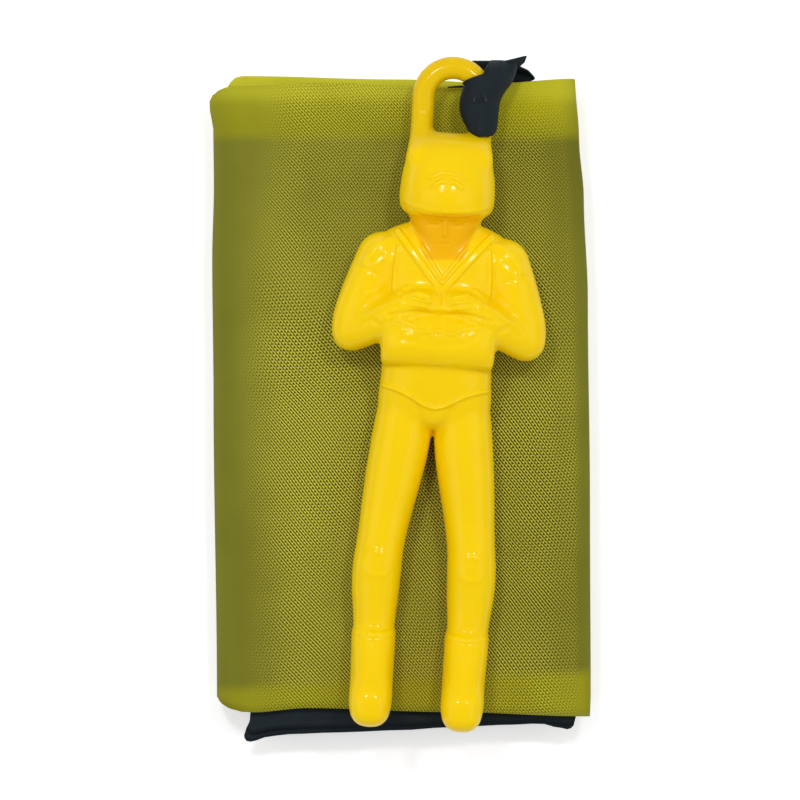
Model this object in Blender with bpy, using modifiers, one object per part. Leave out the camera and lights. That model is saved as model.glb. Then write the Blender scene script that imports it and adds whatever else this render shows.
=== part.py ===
"""A packed toy parachute: a moulded jumper lying on its folded cloth canopy.

The canopy's crown is one thin green sheet, folded into a flat pack with a round fold along its left side.
Four black panels are folded inside it, and their narrow ends are sewn to a riser of the same black cloth.
The riser comes out at the pack's top edge, folds over and is looped round the right leg of the jumper's
head ring. The pack's front half opens like a book, the riser sways, and the jumper turns over on its fold.

Metres. +X is to the pack's right, +Y is towards the head ring, and +Z is up from the surface it lies on.
"""

import math

import bmesh
import bpy
from mathutils import Matrix, Vector

# Cloth and thread
CLOTH_GAP = 0.0003
FLAP_THICKNESS = 0.0011
INNER_THICKNESS = 0.0008
PANEL_THICKNESS = 0.0009
RISER_THICKNESS = 0.0005
LOOP_WALL = 0.00045
THREAD_RADIUS = 0.00015
PLATE_EDGE_ROUNDING = 0.0002

# The folded pack
PACK_WIDTH = 0.0569
PACK_LENGTH = 0.0945
FOLD_ROUNDING = 0.0060
PLY_SIDE_GAP = 0.0005

# The riser: its round end turns in the tail, its wall climbs the pack's top edge to the fold line
RISER_PIVOT_INSET = 0.0030
RISER_FROM_RIGHT_EDGE = 0.01445
RISER_DISC_RADIUS = 0.0038
RISER_WIDTH = 0.0100
RISER_TOP_WIDTH = 0.0062
RISER_BEND = 0.0008
RISER_WALL_CLEARANCE = 0.0014
TAIL_WIDTH = 0.0120
TAIL_TOP_DROP = 0.0010
TAIL_SEAM_DEPTH = 0.0011
FOLD_LINE_REACH = 0.0036
FOLD_CLEARANCE = 0.0006
TAIL_TACK_WIDTH = 0.0080
TAIL_TACK_HEIGHT = 0.0006

# The sleeve round the ring's leg
LOOP_DOWN_LEG = 0.0046
LOOP_ROUND_ARCH = math.radians(45)
LOOP_TOP_SLACK = 0.0014
LOOP_FOOT_SLACK = 0.0008
LOOP_INWARD = 0.0004
LOOP_BULGE = 0.0002
LOOP_TONGUE = 0.0004
LOOP_TACK_WIDTH = 0.0018
LOOP_TACK_HEIGHT = 0.0010

# The jumper, lying on the back; distances down the body are from the head ring's centre
JUMPER_LEAN = math.radians(3.5)
RING_CENTRE_FROM_RISER = 0.0061
RING_CENTRE_INSET = 0.00225
RING_RADIUS = 0.0044
RING_TUBE_RADIUS = 0.0017
RING_LEG = 0.0080
RING_ABOVE_BACK = 0.0045
HELMET_DOWN = 0.0055
HELMET_HEIGHT = 0.0117
HELMET_WIDTH = 0.0142
HELMET_DEPTH = 0.0136
FACE_DOWN = 0.0150
FACE_HEIGHT = 0.0093
FACE_WIDTH = 0.0118
FACE_DEPTH = 0.0115
NECK_DOWN = 0.0160
NECK_HEIGHT = 0.0090
NECK_WIDTH = 0.0080
NECK_DEPTH = 0.0075
TORSO_DOWN = 0.0188
TORSO_HEIGHT = 0.0305
TORSO_WIDTH = 0.0170
TORSO_DEPTH = 0.0106
SHOULDER_DOWN = 0.0246
SHOULDER_OUT = 0.0093
SHOULDER_RADIUS = 0.0037
SLEEVE_RADIUS = 0.0035
ELBOW_DOWN = 0.0356
ELBOW_OUT = 0.0129
ELBOW_RADIUS = 0.0030
ARM_ABOVE_BACK = 0.0060
WRIST_DOWN = 0.0316
WRIST_OUT = 0.0052
WRIST_RADIUS = 0.0018
FIST_DOWN = 0.0309
FIST_OUT = 0.0026
FIST_LENGTH = 0.0054
FIST_HEIGHT = 0.0032
FIST_DEPTH = 0.0034
FIST_ABOVE_BACK = 0.0119
RESERVE_DOWN = 0.0328
RESERVE_HEIGHT = 0.0078
RESERVE_WIDTH = 0.0172
RESERVE_FRONT = 0.0133
RESERVE_DEPTH = 0.0060
LEG_DOWN = 0.0440
LEG_LENGTH = 0.0370
LEG_APART = 0.0070
LEG_WIDTH = 0.0088
LEG_DEPTH = 0.0086
BOOT_DOWN = 0.0797
BOOT_LENGTH = 0.0100
BOOT_WIDTH = 0.0064
BOOT_DEPTH = 0.0068
FOOT_DOWN = 0.0885
FOOT_RADIUS = 0.0031
TOE_DOWN = 0.0911
TOE_RADIUS = 0.0028
TOE_ABOVE_BACK = 0.0088

# Rows of a lofted form: how far along it, where its middle is, half its width, its back and its front,
# each a share of the form's own height, spread, width and depth
HELMET_ROW_SHARES = (
    (0.00, 0.0, 0.22, 0.26, 0.46),
    (0.03, 0.0, 0.36, 0.19, 0.58),
    (0.11, 0.0, 0.42, 0.12, 0.70),
    (0.24, 0.0, 0.44, 0.06, 0.82),
    (0.42, 0.0, 0.465, 0.02, 0.92),
    (0.62, 0.0, 0.49, 0.0, 0.98),
    (0.82, 0.0, 0.50, 0.0, 1.0),
    (0.93, 0.0, 0.485, 0.02, 0.985),
    (1.00, 0.0, 0.44, 0.06, 0.94),
)
FACE_ROW_SHARES = (
    (0.00, 0.0, 0.50, 0.20, 0.94),
    (0.22, 0.0, 0.485, 0.20, 0.98),
    (0.42, 0.0, 0.42, 0.22, 1.0),
    (0.62, 0.0, 0.34, 0.28, 0.98),
    (0.80, 0.0, 0.25, 0.38, 0.96),
    (0.93, 0.0, 0.16, 0.50, 0.92),
    (1.00, 0.0, 0.07, 0.62, 0.82),
)
NECK_ROW_SHARES = (
    (0.00, 0.0, 0.50, 0.15, 0.95),
    (1.00, 0.0, 0.55, 0.15, 1.0),
)
TORSO_ROW_SHARES = (
    (0.00, 0.0, 0.22, 0.20, 0.66),
    (0.03, 0.0, 0.40, 0.13, 0.80),
    (0.07, 0.0, 0.52, 0.08, 0.87),
    (0.13, 0.0, 0.585, 0.05, 0.93),
    (0.22, 0.0, 0.60, 0.03, 0.98),
    (0.34, 0.0, 0.53, 0.0, 1.0),
    (0.46, 0.0, 0.49, 0.0, 1.0),
    (0.60, 0.0, 0.475, 0.02, 0.97),
    (0.74, 0.0, 0.475, 0.02, 0.93),
    (0.86, 0.0, 0.495, 0.01, 0.93),
    (0.96, 0.0, 0.47, 0.04, 0.86),
    (1.00, 0.0, 0.38, 0.12, 0.72),
)
LEG_ROW_SHARES = (
    (0.00, 0.58, 0.42, 0.08, 1.0),
    (0.08, 0.62, 0.475, 0.06, 1.06),
    (0.22, 0.67, 0.50, 0.05, 1.07),
    (0.36, 0.78, 0.475, 0.07, 1.03),
    (0.50, 0.88, 0.43, 0.09, 0.98),
    (0.62, 0.96, 0.41, 0.10, 0.99),
    (0.70, 1.00, 0.415, 0.10, 1.0),
    (0.80, 1.01, 0.405, 0.09, 0.93),
    (0.90, 1.00, 0.36, 0.12, 0.86),
    (1.00, 0.99, 0.33, 0.14, 0.82),
)
BOOT_ROW_SHARES = (
    (0.00, 0.99, 0.47, 0.09, 1.07),
    (0.05, 0.99, 0.495, 0.07, 1.09),
    (0.35, 0.98, 0.485, 0.05, 1.07),
    (0.75, 0.965, 0.475, 0.0, 1.10),
    (0.95, 0.97, 0.46, 0.0, 1.15),
    (1.10, 0.975, 0.36, 0.10, 1.0),
)
BRIM_TILT_SHARE = 0.10
SLEEVE_SHARE = 0.42
MIDDLE_SHARE = 0.5
RESERVE_FACE_SHARE = 0.82

# How round a section is: 1 is an ellipse, and towards 0 it is a rectangle
FACE_ROUND_SHARE = 0.91
LIMB_ROUND_SHARE = 0.91
HELMET_ROUND_SHARE = 0.8
BOOT_ROUND_SHARE = 0.8
BODY_ROUND_SHARE = 0.74
RESERVE_ROUND_SHARE = 0.4

# The pack's edges as the folded cloth has them: a share along the edge, then the edge's place as a share
# of the pack's width or length, from its middle
LEFT_EDGE_SHARES = (
    (0.0, -0.480), (0.5, -0.486), (0.735, -0.492), (0.86, -0.488), (0.94, -0.490), (0.975, -0.500),
    (1.0, -0.492),
)
RIGHT_EDGE_SHARES = (
    (0.0, 0.4975), (0.03, 0.500), (0.34, 0.4975), (0.656, 0.492), (0.814, 0.4815), (0.908, 0.469), (1.0, 0.459),
)
TOP_EDGE_SHARES = (
    (0.0, 0.474), (0.05, 0.490), (0.1, 0.4925), (0.32, 0.4985), (0.62, 0.4900), (0.76, 0.4985), (1.0, 0.505),
)
BOTTOM_EDGE_SHARES = (
    (0.0, -0.462), (0.035, -0.477), (0.07, -0.489), (0.1, -0.4925), (0.24, -0.4857), (0.62, -0.492),
    (1.0, -0.499),
)
BACK_TOP_EDGE_SHARES = ((0.0, 0.478), (0.05, 0.504), (0.1, 0.5115), (0.52, 0.506), (0.8, 0.500), (1.0, 0.498))
BACK_BOTTOM_EDGE_SHARES = ((0.0, -0.455), (0.06, -0.480), (0.5, -0.484), (1.0, -0.488))
STATION_STEP_SHARE = 0.1
STACK_STATION_SHARES = (0.03, 0.2, 0.4, 0.6, 0.75, 0.86, 0.93, 0.97)

# A panel's lower edge, which sticks out below the front flap: across, then down
PANEL_FOOT_SHARES = (
    (0.459, -0.494), (0.462, -0.516), (0.454, -0.5205), (0.436, -0.518), (0.37, -0.511), (0.29, -0.513),
    (0.14, -0.5165), (0.0, -0.5215), (-0.16, -0.525), (-0.30, -0.528), (-0.352, -0.533), (-0.382, -0.5395),
    (-0.398, -0.5408), (-0.409, -0.5365), (-0.400, -0.521), (-0.392, -0.506), (-0.400, -0.490),
)
PANEL_FOOT_DROP_SHARES = (0.72, 1.0, 0.45, 0.20)
INNER_FOOT_SHARE = 0.488
PANEL_FOOT_STATION_SHARE = 0.05
PANEL_SIDE_STATION_SHARES = (0.2, 0.5, 0.75)
PANEL_TOP_STATION_SHARE = 0.9

# Across the riser's strap, up its wall, and across the web that joins the sleeve to the fold line
STRAP_ACROSS_SHARES = (-1.0, -0.5, 0.0, 0.5, 1.0)
WALL_RISE_SHARES = (0.35, 0.7, 1.0)
WEB_LEG_LEFT_SHARE = -0.3
WEB_LEG_RIGHT_SHARE = 0.7
WEB_SHOULDER_SHARE = 0.5

SIDES = 20
RESERVE_SIDES = 24
DOME_STEPS = 4
RESERVE_STEPS = 6
ARCH_STEPS = 24
RING_RESOLUTION = 4
THREAD_RESOLUTION = 1
FOLD_STEPS = 7
ACROSS_STEPS = 8
DISC_STEPS = 6
NOTCH_STEPS = 12
BEND_STEPS = 4
LOOP_ROWS = 6
TACK_STROKES = 12
PANELS_A_SIDE = 2
SHARP_ANGLE = math.radians(40)
BEVEL_ANGLE = math.radians(60)

HALF_STACK = FLAP_THICKNESS + PANELS_A_SIDE * (CLOTH_GAP + PANEL_THICKNESS) + CLOTH_GAP + INNER_THICKNESS
PACK_HEIGHT = 2 * HALF_STACK + CLOTH_GAP
SPLIT_LEVEL = PACK_HEIGHT / 2
PACK_TOP = PACK_LENGTH / 2
PANEL_TOP = PACK_TOP - RISER_PIVOT_INSET - RISER_DISC_RADIUS - TAIL_SEAM_DEPTH - 2 * CLOTH_GAP
TUBE_CLEAR_RADIUS = RING_TUBE_RADIUS + CLOTH_GAP
JUMPER_BACK_LEVEL = PACK_HEIGHT + CLOTH_GAP
RING_LEVEL = JUMPER_BACK_LEVEL + RING_ABOVE_BACK
WEB_LEVEL = RING_LEVEL - TUBE_CLEAR_RADIUS - LOOP_WALL / 2
RISER_LEVEL = PACK_HEIGHT - FLAP_THICKNESS - CLOTH_GAP - PANEL_THICKNESS - CLOTH_GAP / 2
OPEN_LINE = Vector((-PACK_WIDTH / 2, 0, SPLIT_LEVEL))
RISER_PIVOT = Vector((PACK_WIDTH / 2 - RISER_FROM_RIGHT_EDGE, PACK_TOP - RISER_PIVOT_INSET, 0))
FOLD_LINE = Vector((RISER_PIVOT.x, PACK_TOP + FOLD_LINE_REACH, WEB_LEVEL))

YELLOW = (0.93, 0.66, 0.01, 1)
GREEN = (0.24, 0.25, 0.03, 1)
BLACK = (0.018, 0.024, 0.029, 1)
THREAD = (0.03, 0.035, 0.04, 1)


def cleared():
    """Empties the scene and gives the collections for the parts and for the forms that are joined into them."""
    for old in list(bpy.data.objects):
        bpy.data.objects.remove(old, do_unlink=True)
    for old in list(bpy.data.collections):
        bpy.data.collections.remove(old)
    parts = bpy.data.collections.new("toy parachute")
    forms = bpy.data.collections.new("forms and cutters")
    for group in (parts, forms):
        bpy.context.scene.collection.children.link(group)
    return parts, forms


def finish(name, colour, roughness):
    material = bpy.data.materials.new(name)
    material.use_nodes = True
    shader = material.node_tree.nodes["Principled BSDF"]
    shader.inputs["Base Color"].default_value = colour
    shader.inputs["Roughness"].default_value = roughness
    shader.inputs["Metallic"].default_value = 0
    return material


def pivot(name, place, group, parent=None):
    """An empty on a joint's axis, which carries what turns about it."""
    empty = bpy.data.objects.new(name, None)
    group.objects.link(empty)
    empty.parent = parent
    empty.location = place - (parent.matrix_world.translation if parent else Vector())
    bpy.context.view_layer.update()
    return empty


def held(name, mesh, group, material, carrier):
    """An object whose mesh is given in world coordinates, carried by its joint's empty."""
    obj = bpy.data.objects.new(name, mesh)
    group.objects.link(obj)
    mesh.materials.append(material)
    mesh.transform(Matrix.Translation(-carrier.matrix_world.translation))
    obj.parent = carrier
    mesh.shade_smooth()
    mesh.set_sharp_from_angle(angle=SHARP_ANGLE)
    return obj


def mesh_of(bm, name):
    bmesh.ops.recalc_face_normals(bm, faces=bm.faces)
    mesh = bpy.data.meshes.new(name)
    bm.to_mesh(mesh)
    bm.free()
    return mesh


def joined_to(obj, form, label):
    """Unites a form with a piece, and leaves the form out of the model."""
    form.hide_render = True
    form.display_type = "WIRE"
    union = obj.modifiers.new(label, "BOOLEAN")
    union.operation = "UNION"
    union.solver = "EXACT"
    union.object = form


def thickened(obj, thickness, offset):
    shell = obj.modifiers.new("cloth thickness", "SOLIDIFY")
    shell.thickness = thickness
    shell.offset = offset
    shell.use_even_offset = offset != 0


def share_at(shares, along):
    """The value at a place along an edge, smoothly between the shares given there."""
    for (low, a), (high, b) in zip(shares, shares[1:]):
        if along <= high:
            part = max(0.0, (along - low) / (high - low))
            part = part * part * (3 - 2 * part)
            return a + (b - a) * part
    return shares[-1][1]


def stations(*tables):
    """Places along an edge: each one that its tables name, and more between those that lie far apart."""
    named = sorted({along for table in tables for along, _ in table})
    places = [named[0]]
    for low, high in zip(named, named[1:]):
        steps = math.ceil((high - low) / STATION_STEP_SHARE)
        places += [low + (high - low) * i / steps for i in range(1, steps + 1)]
    return places


def superellipse(angle, roundness):
    c, s = math.cos(angle), math.sin(angle)
    return math.copysign(abs(c) ** roundness, c), math.copysign(abs(s) ** roundness, s)


def skinned(bm, rings, closed_ends=True):
    """Faces between rings of points that follow one another, with the first and last ring closed."""
    loops = [[bm.verts.new(p) for p in ring] for ring in rings]
    for low, high in zip(loops, loops[1:]):
        for i in range(len(low)):
            j = (i + 1) % len(low)
            bm.faces.new((low[i], low[j], high[j], high[i]))
    if closed_ends:
        bm.faces.new(loops[0])
        bm.faces.new(loops[-1])


def ring_of_points(centre, right, front, roundness, sides=SIDES):
    points = []
    for i in range(sides):
        u, v = superellipse(2 * math.pi * i / sides, roundness)
        points.append(centre + right * u + front * v)
    return points


def upright_loft(rows, down, height, spread, width, depth, roundness, side=1, tilt=0.0):
    """A form whose rows lie across the body, from its row shares and its own sizes."""
    bm = bmesh.new()
    rings = []
    for along, middle, half, back, front in rows:
        centre = Vector((side * middle * spread, -(down + along * height), (back + front) / 2 * depth))
        lean = Vector((0, -tilt * height * along, (front - back) / 2 * depth))
        rings.append(ring_of_points(centre, Vector((half * width, 0, 0)), lean, roundness))
    skinned(bm, rings)
    return bm


def limb(ends):
    """A round limb through the given centres and radii, with domed ends."""
    (first, r0), (last, r1) = ends[0], ends[-1]
    way_in, way_out = (ends[1][0] - first).normalized(), (last - ends[-2][0]).normalized()
    rings = []
    for k in range(1, DOME_STEPS + 1):
        a = math.pi / 2 * k / DOME_STEPS
        rings.append((first - way_in * r0 * math.cos(a), r0 * math.sin(a), way_in))
    for (before, _), (centre, radius), (after, _) in zip(ends, ends[1:], ends[2:]):
        rings.append((centre, radius, (after - before).normalized()))
    for k in range(DOME_STEPS, 0, -1):
        a = math.pi / 2 * k / DOME_STEPS
        rings.append((last + way_out * r1 * math.cos(a), r1 * math.sin(a), way_out))
    bm = bmesh.new()
    points = []
    for centre, radius, way in rings:
        right = way.cross(Vector((0, 0, 1))).normalized()
        front = right.cross(way).normalized()
        points.append(ring_of_points(centre, right * radius, front * radius, LIMB_ROUND_SHARE))
    skinned(bm, points)
    return bm


def fist_ball(centre):
    bm = bmesh.new()
    bmesh.ops.create_uvsphere(
        bm,
        u_segments=SIDES,
        v_segments=SIDES // 2,
        radius=1,
        matrix=Matrix.Translation(centre)
        @ Matrix.Diagonal((FIST_LENGTH / 2, FIST_HEIGHT / 2, FIST_DEPTH / 2, 1)),
    )
    return bm


def ring_path():
    """The head ring's centre line in the jumper's frame: up one leg, over the arch and down the other."""
    points = [Vector((-RING_RADIUS, -RING_LEG, RING_ABOVE_BACK))]
    for i in range(ARCH_STEPS + 1):
        a = math.pi * (1 - i / ARCH_STEPS)
        points.append(Vector((RING_RADIUS * math.cos(a), RING_RADIUS * math.sin(a), RING_ABOVE_BACK)))
    points.append(Vector((RING_RADIUS, -RING_LEG, RING_ABOVE_BACK)))
    return points


def tube_mesh(name, points, radius, resolution):
    """A tube along a path, as a mesh with its caps welded on."""
    curve = bpy.data.curves.new(name, "CURVE")
    curve.dimensions = "3D"
    curve.bevel_depth = radius
    curve.bevel_resolution = resolution
    curve.use_fill_caps = True
    spline = curve.splines.new("POLY")
    spline.points.add(len(points) - 1)
    for point, place in zip(spline.points, points):
        point.co = (*place, 1)
    guide = bpy.data.objects.new(name, curve)
    bpy.context.scene.collection.objects.link(guide)
    bpy.context.view_layer.update()
    mesh = bpy.data.meshes.new_from_object(guide.evaluated_get(bpy.context.evaluated_depsgraph_get()))
    bpy.data.objects.remove(guide, do_unlink=True)
    bm = bmesh.new()
    bm.from_mesh(mesh)
    bpy.data.meshes.remove(mesh)
    bmesh.ops.remove_doubles(bm, verts=bm.verts, dist=radius / 100)
    return bm


def jumper_frame():
    """From the jumper's own frame, at the ring's centre on its back plane, to the world."""
    place = Vector((RISER_PIVOT.x - RING_CENTRE_FROM_RISER, PACK_TOP - RING_CENTRE_INSET, JUMPER_BACK_LEVEL))
    return Matrix.Translation(place) @ Matrix.Rotation(-JUMPER_LEAN, 4, "Z")


def reserve_pack():
    """The pack on the jumper's belly, a rounded box."""
    bm = bmesh.new()
    middle = -(RESERVE_DOWN + RESERVE_HEIGHT / 2)
    rings = []
    for i in range(RESERVE_STEPS + 1):
        a = -math.pi / 2 + math.pi * i / RESERVE_STEPS
        size = RESERVE_FACE_SHARE + (1 - RESERVE_FACE_SHARE) * math.cos(a)
        rings.append(
            ring_of_points(
                Vector((0, middle, RESERVE_FRONT + (math.sin(a) - 1) * RESERVE_DEPTH / 2)),
                Vector((RESERVE_WIDTH / 2 * size, 0, 0)),
                Vector((0, RESERVE_HEIGHT / 2 * size, 0)),
                RESERVE_ROUND_SHARE,
                RESERVE_SIDES,
            )
        )
    skinned(bm, rings)
    return bm


def arm_forms(side):
    """One upper arm, forearm and fist."""
    shoulder = Vector((side * SHOULDER_OUT, -SHOULDER_DOWN, ARM_ABOVE_BACK))
    elbow = Vector((side * ELBOW_OUT, -ELBOW_DOWN, ARM_ABOVE_BACK))
    wrist = Vector((side * WRIST_OUT, -WRIST_DOWN, FIST_ABOVE_BACK))
    fist = Vector((side * FIST_OUT, -FIST_DOWN, FIST_ABOVE_BACK))
    sleeve = shoulder.lerp(elbow, SLEEVE_SHARE)
    forearm = elbow.lerp(wrist, MIDDLE_SHARE)
    forearm_radius = (ELBOW_RADIUS + WRIST_RADIUS) / 2
    return {
        "upper arm": limb([(shoulder, SHOULDER_RADIUS), (sleeve, SLEEVE_RADIUS), (elbow, ELBOW_RADIUS)]),
        "forearm": limb([(elbow, ELBOW_RADIUS), (forearm, forearm_radius), (wrist, WRIST_RADIUS)]),
        "fist": fist_ball(fist),
    }


def leg_forms(side):
    """One leg, its boot, and the foot that points up and forward."""
    heel = Vector((side * LEG_APART, -FOOT_DOWN, FOOT_RADIUS))
    toe = Vector((side * LEG_APART, -TOE_DOWN, TOE_ABOVE_BACK))
    return {
        "leg": upright_loft(
            LEG_ROW_SHARES, LEG_DOWN, LEG_LENGTH, LEG_APART, LEG_WIDTH, LEG_DEPTH, LIMB_ROUND_SHARE, side
        ),
        "boot": upright_loft(
            BOOT_ROW_SHARES, BOOT_DOWN, BOOT_LENGTH, LEG_APART, BOOT_WIDTH, BOOT_DEPTH, BOOT_ROUND_SHARE, side
        ),
        "foot": limb([(heel, FOOT_RADIUS), (heel.lerp(toe, MIDDLE_SHARE), FOOT_RADIUS), (toe, TOE_RADIUS)]),
    }


def jumper_forms():
    """The forms that are joined to the torso, in the jumper's frame."""
    forms = {
        "ring": tube_mesh("ring", ring_path(), RING_TUBE_RADIUS, RING_RESOLUTION),
        "helmet": upright_loft(
            HELMET_ROW_SHARES, HELMET_DOWN, HELMET_HEIGHT, 0, HELMET_WIDTH, HELMET_DEPTH,
            HELMET_ROUND_SHARE, tilt=BRIM_TILT_SHARE,
        ),
        "face": upright_loft(
            FACE_ROW_SHARES, FACE_DOWN, FACE_HEIGHT, 0, FACE_WIDTH, FACE_DEPTH, FACE_ROUND_SHARE
        ),
        "neck": upright_loft(
            NECK_ROW_SHARES, NECK_DOWN, NECK_HEIGHT, 0, NECK_WIDTH, NECK_DEPTH, BODY_ROUND_SHARE
        ),
        "reserve": reserve_pack(),
    }
    for side, word in ((-1, "left"), (1, "right")):
        for name, bm in {**arm_forms(side), **leg_forms(side)}.items():
            forms[f"{word} {name}"] = bm
    return forms


def make_jumper(parts, forms, carrier, material):
    frame = jumper_frame()
    torso = upright_loft(
        TORSO_ROW_SHARES, TORSO_DOWN, TORSO_HEIGHT, 0, TORSO_WIDTH, TORSO_DEPTH, BODY_ROUND_SHARE
    )
    torso.transform(frame)
    jumper = held("jumper_figure", mesh_of(torso, "jumper_figure"), parts, material, carrier)
    for name, bm in jumper_forms().items():
        bm.transform(frame)
        joined_to(jumper, held(f"form {name}", mesh_of(bm, name), forms, material, carrier), f"with {name}")


def pack_point(across, along, edges):
    """A point of the pack's plan from its shares across and along, between its four edges."""
    left, right, bottom, top = edges
    x = PACK_WIDTH * ((1 - across) * share_at(left, along) + across * share_at(right, along))
    y = PACK_LENGTH * ((1 - along) * share_at(bottom, across) + along * share_at(top, across))
    return x, y


def flap(name, side, edges, group, carrier, material):
    """The crown's outer ply on one side of the pack: flat, and rounded down to the split at the left fold."""
    half_height = PACK_HEIGHT / 2 - CLOTH_GAP
    fold_share = FOLD_ROUNDING / PACK_WIDTH
    columns = []
    for i in range(FOLD_STEPS + 1):
        a = math.pi / 2 * i / FOLD_STEPS
        columns.append((fold_share * (1 - math.cos(a)), math.sin(a)))
    for i in range(1, ACROSS_STEPS + 1):
        columns.append((fold_share + (1 - fold_share) * i / ACROSS_STEPS, 1.0))
    bm = bmesh.new()
    grid = []
    for across, level in columns:
        z = SPLIT_LEVEL + side * (CLOTH_GAP + half_height * level)
        plan = [pack_point(across, along, edges) for along in stations(LEFT_EDGE_SHARES, RIGHT_EDGE_SHARES)]
        grid.append([bm.verts.new((x, y, z)) for x, y in plan])
    for one, other in zip(grid, grid[1:]):
        for j in range(len(one) - 1):
            face = (one[j], other[j], other[j + 1], one[j + 1])
            bm.faces.new(face if side > 0 else tuple(reversed(face)))
    mesh = bpy.data.meshes.new(name)
    bm.to_mesh(mesh)
    bm.free()
    thickened(held(name, mesh, group, material, carrier), FLAP_THICKNESS, -1)


def plate(name, outline, low, high, group, carrier, material):
    """A flat folded stack of cloth with softened edges."""
    bm = bmesh.new()
    face = bm.faces.new([bm.verts.new((x, y, low)) for x, y in outline])
    grown = bmesh.ops.extrude_face_region(bm, geom=[face])
    top = [v for v in grown["geom"] if isinstance(v, bmesh.types.BMVert)]
    bmesh.ops.translate(bm, verts=top, vec=(0, 0, high - low))
    obj = held(name, mesh_of(bm, name), group, material, carrier)
    soft = obj.modifiers.new("soft edges", "BEVEL")
    soft.width = PLATE_EDGE_ROUNDING
    soft.segments = 1
    soft.limit_method = "ANGLE"
    soft.angle_limit = BEVEL_ANGLE
    return obj


def inner_sides(along, level):
    """Where a stack inside the pack ends, left and right, clear of the round fold at its outer face's level."""
    half = PACK_HEIGHT / 2 - CLOTH_GAP - FLAP_THICKNESS
    height_share = min(1.0, abs(level - SPLIT_LEVEL) / half)
    bulge = (FOLD_ROUNDING - FLAP_THICKNESS) * math.sqrt(1 - height_share ** 2)
    left = PACK_WIDTH * share_at(LEFT_EDGE_SHARES, along) + FOLD_ROUNDING - bulge + PLY_SIDE_GAP
    right = PACK_WIDTH * share_at(RIGHT_EDGE_SHARES, along) - CLOTH_GAP
    return left, right


def level_along(along):
    return (along - MIDDLE_SHARE) * PACK_LENGTH


def make_canopy(group, back, front, material):
    """The crown's outer plies, and what is folded up between them, split where the pack opens."""
    front_edges = (LEFT_EDGE_SHARES, RIGHT_EDGE_SHARES, BOTTOM_EDGE_SHARES, TOP_EDGE_SHARES)
    back_edges = (LEFT_EDGE_SHARES, RIGHT_EDGE_SHARES, BACK_BOTTOM_EDGE_SHARES, BACK_TOP_EDGE_SHARES)
    flap("canopy_front_flap", 1, front_edges, group, front, material)
    flap("canopy_back_flap", -1, back_edges, group, back, material)
    for name, side, carrier in (("canopy_front_folds", 1, front), ("canopy_back_folds", -1, back)):
        inner = SPLIT_LEVEL + side * CLOTH_GAP / 2
        outer = inner + side * INNER_THICKNESS
        outline = [(inner_sides(along, outer)[1], level_along(along)) for along in STACK_STATION_SHARES]
        for along in reversed(STACK_STATION_SHARES):
            outline.append((inner_sides(along, outer)[0], level_along(along)))
        plate(name, outline, min(inner, outer), max(inner, outer), group, carrier, material)


def panel_outline(drop, level):
    """A folded panel's plan: its sides follow the pack, and its foot comes out below by the given share."""
    foot_left = min(across for across, _ in PANEL_FOOT_SHARES) * PACK_WIDTH
    foot_right = max(across for across, _ in PANEL_FOOT_SHARES) * PACK_WIDTH
    room = foot_right - inner_sides(PANEL_FOOT_STATION_SHARE, level)[0]
    narrowed = min(1.0, room / (foot_right - foot_left))
    outline = []
    for across, down in PANEL_FOOT_SHARES:
        reach = -INNER_FOOT_SHARE + (down + INNER_FOOT_SHARE) * drop
        outline.append((foot_right + (across * PACK_WIDTH - foot_right) * narrowed, reach * PACK_LENGTH))
    for along in PANEL_SIDE_STATION_SHARES:
        outline.append((inner_sides(along, level)[0], level_along(along)))
    left, right = inner_sides(PANEL_TOP_STATION_SHARE, level)
    outline += [(left, PANEL_TOP), (right, PANEL_TOP)]
    for along in reversed(PANEL_SIDE_STATION_SHARES):
        outline.append((inner_sides(along, level)[1], level_along(along)))
    return outline


def make_panels(group, back, front, material):
    """Two panels lie above the crown's inner folds, and two below them."""
    step = PANEL_THICKNESS + CLOTH_GAP
    top = PACK_HEIGHT - FLAP_THICKNESS - step
    bottom = FLAP_THICKNESS + CLOTH_GAP
    lows = (top, top - step, bottom + step, bottom)
    for number, (low, drop) in enumerate(zip(lows, PANEL_FOOT_DROP_SHARES), 1):
        high = low + PANEL_THICKNESS
        carrier, outer = (front, high) if number <= PANELS_A_SIDE else (back, low)
        plate(f"riser_panel_{number}", panel_outline(drop, outer), low, high, group, carrier, material)


def make_tail(group, carrier, material):
    """The riser's sewn end, from the panels to the notch that its strap's round end turns in."""
    cut = RISER_DISC_RADIUS + CLOTH_GAP
    foot = PANEL_TOP + CLOTH_GAP
    half = TAIL_WIDTH / 2
    centre = RISER_PIVOT
    start = math.asin(TAIL_TOP_DROP / cut)
    outline = [(centre.x - half, foot), (centre.x + half, foot), (centre.x + half, centre.y - TAIL_TOP_DROP)]
    for i in range(NOTCH_STEPS + 1):
        a = -start - (math.pi - 2 * start) * i / NOTCH_STEPS
        outline.append((centre.x + cut * math.cos(a), centre.y + cut * math.sin(a)))
    outline.append((centre.x - half, centre.y - TAIL_TOP_DROP))
    low = RISER_LEVEL - RISER_THICKNESS / 2
    plate("riser_tail", outline, low, low + RISER_THICKNESS, group, carrier, material)


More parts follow.
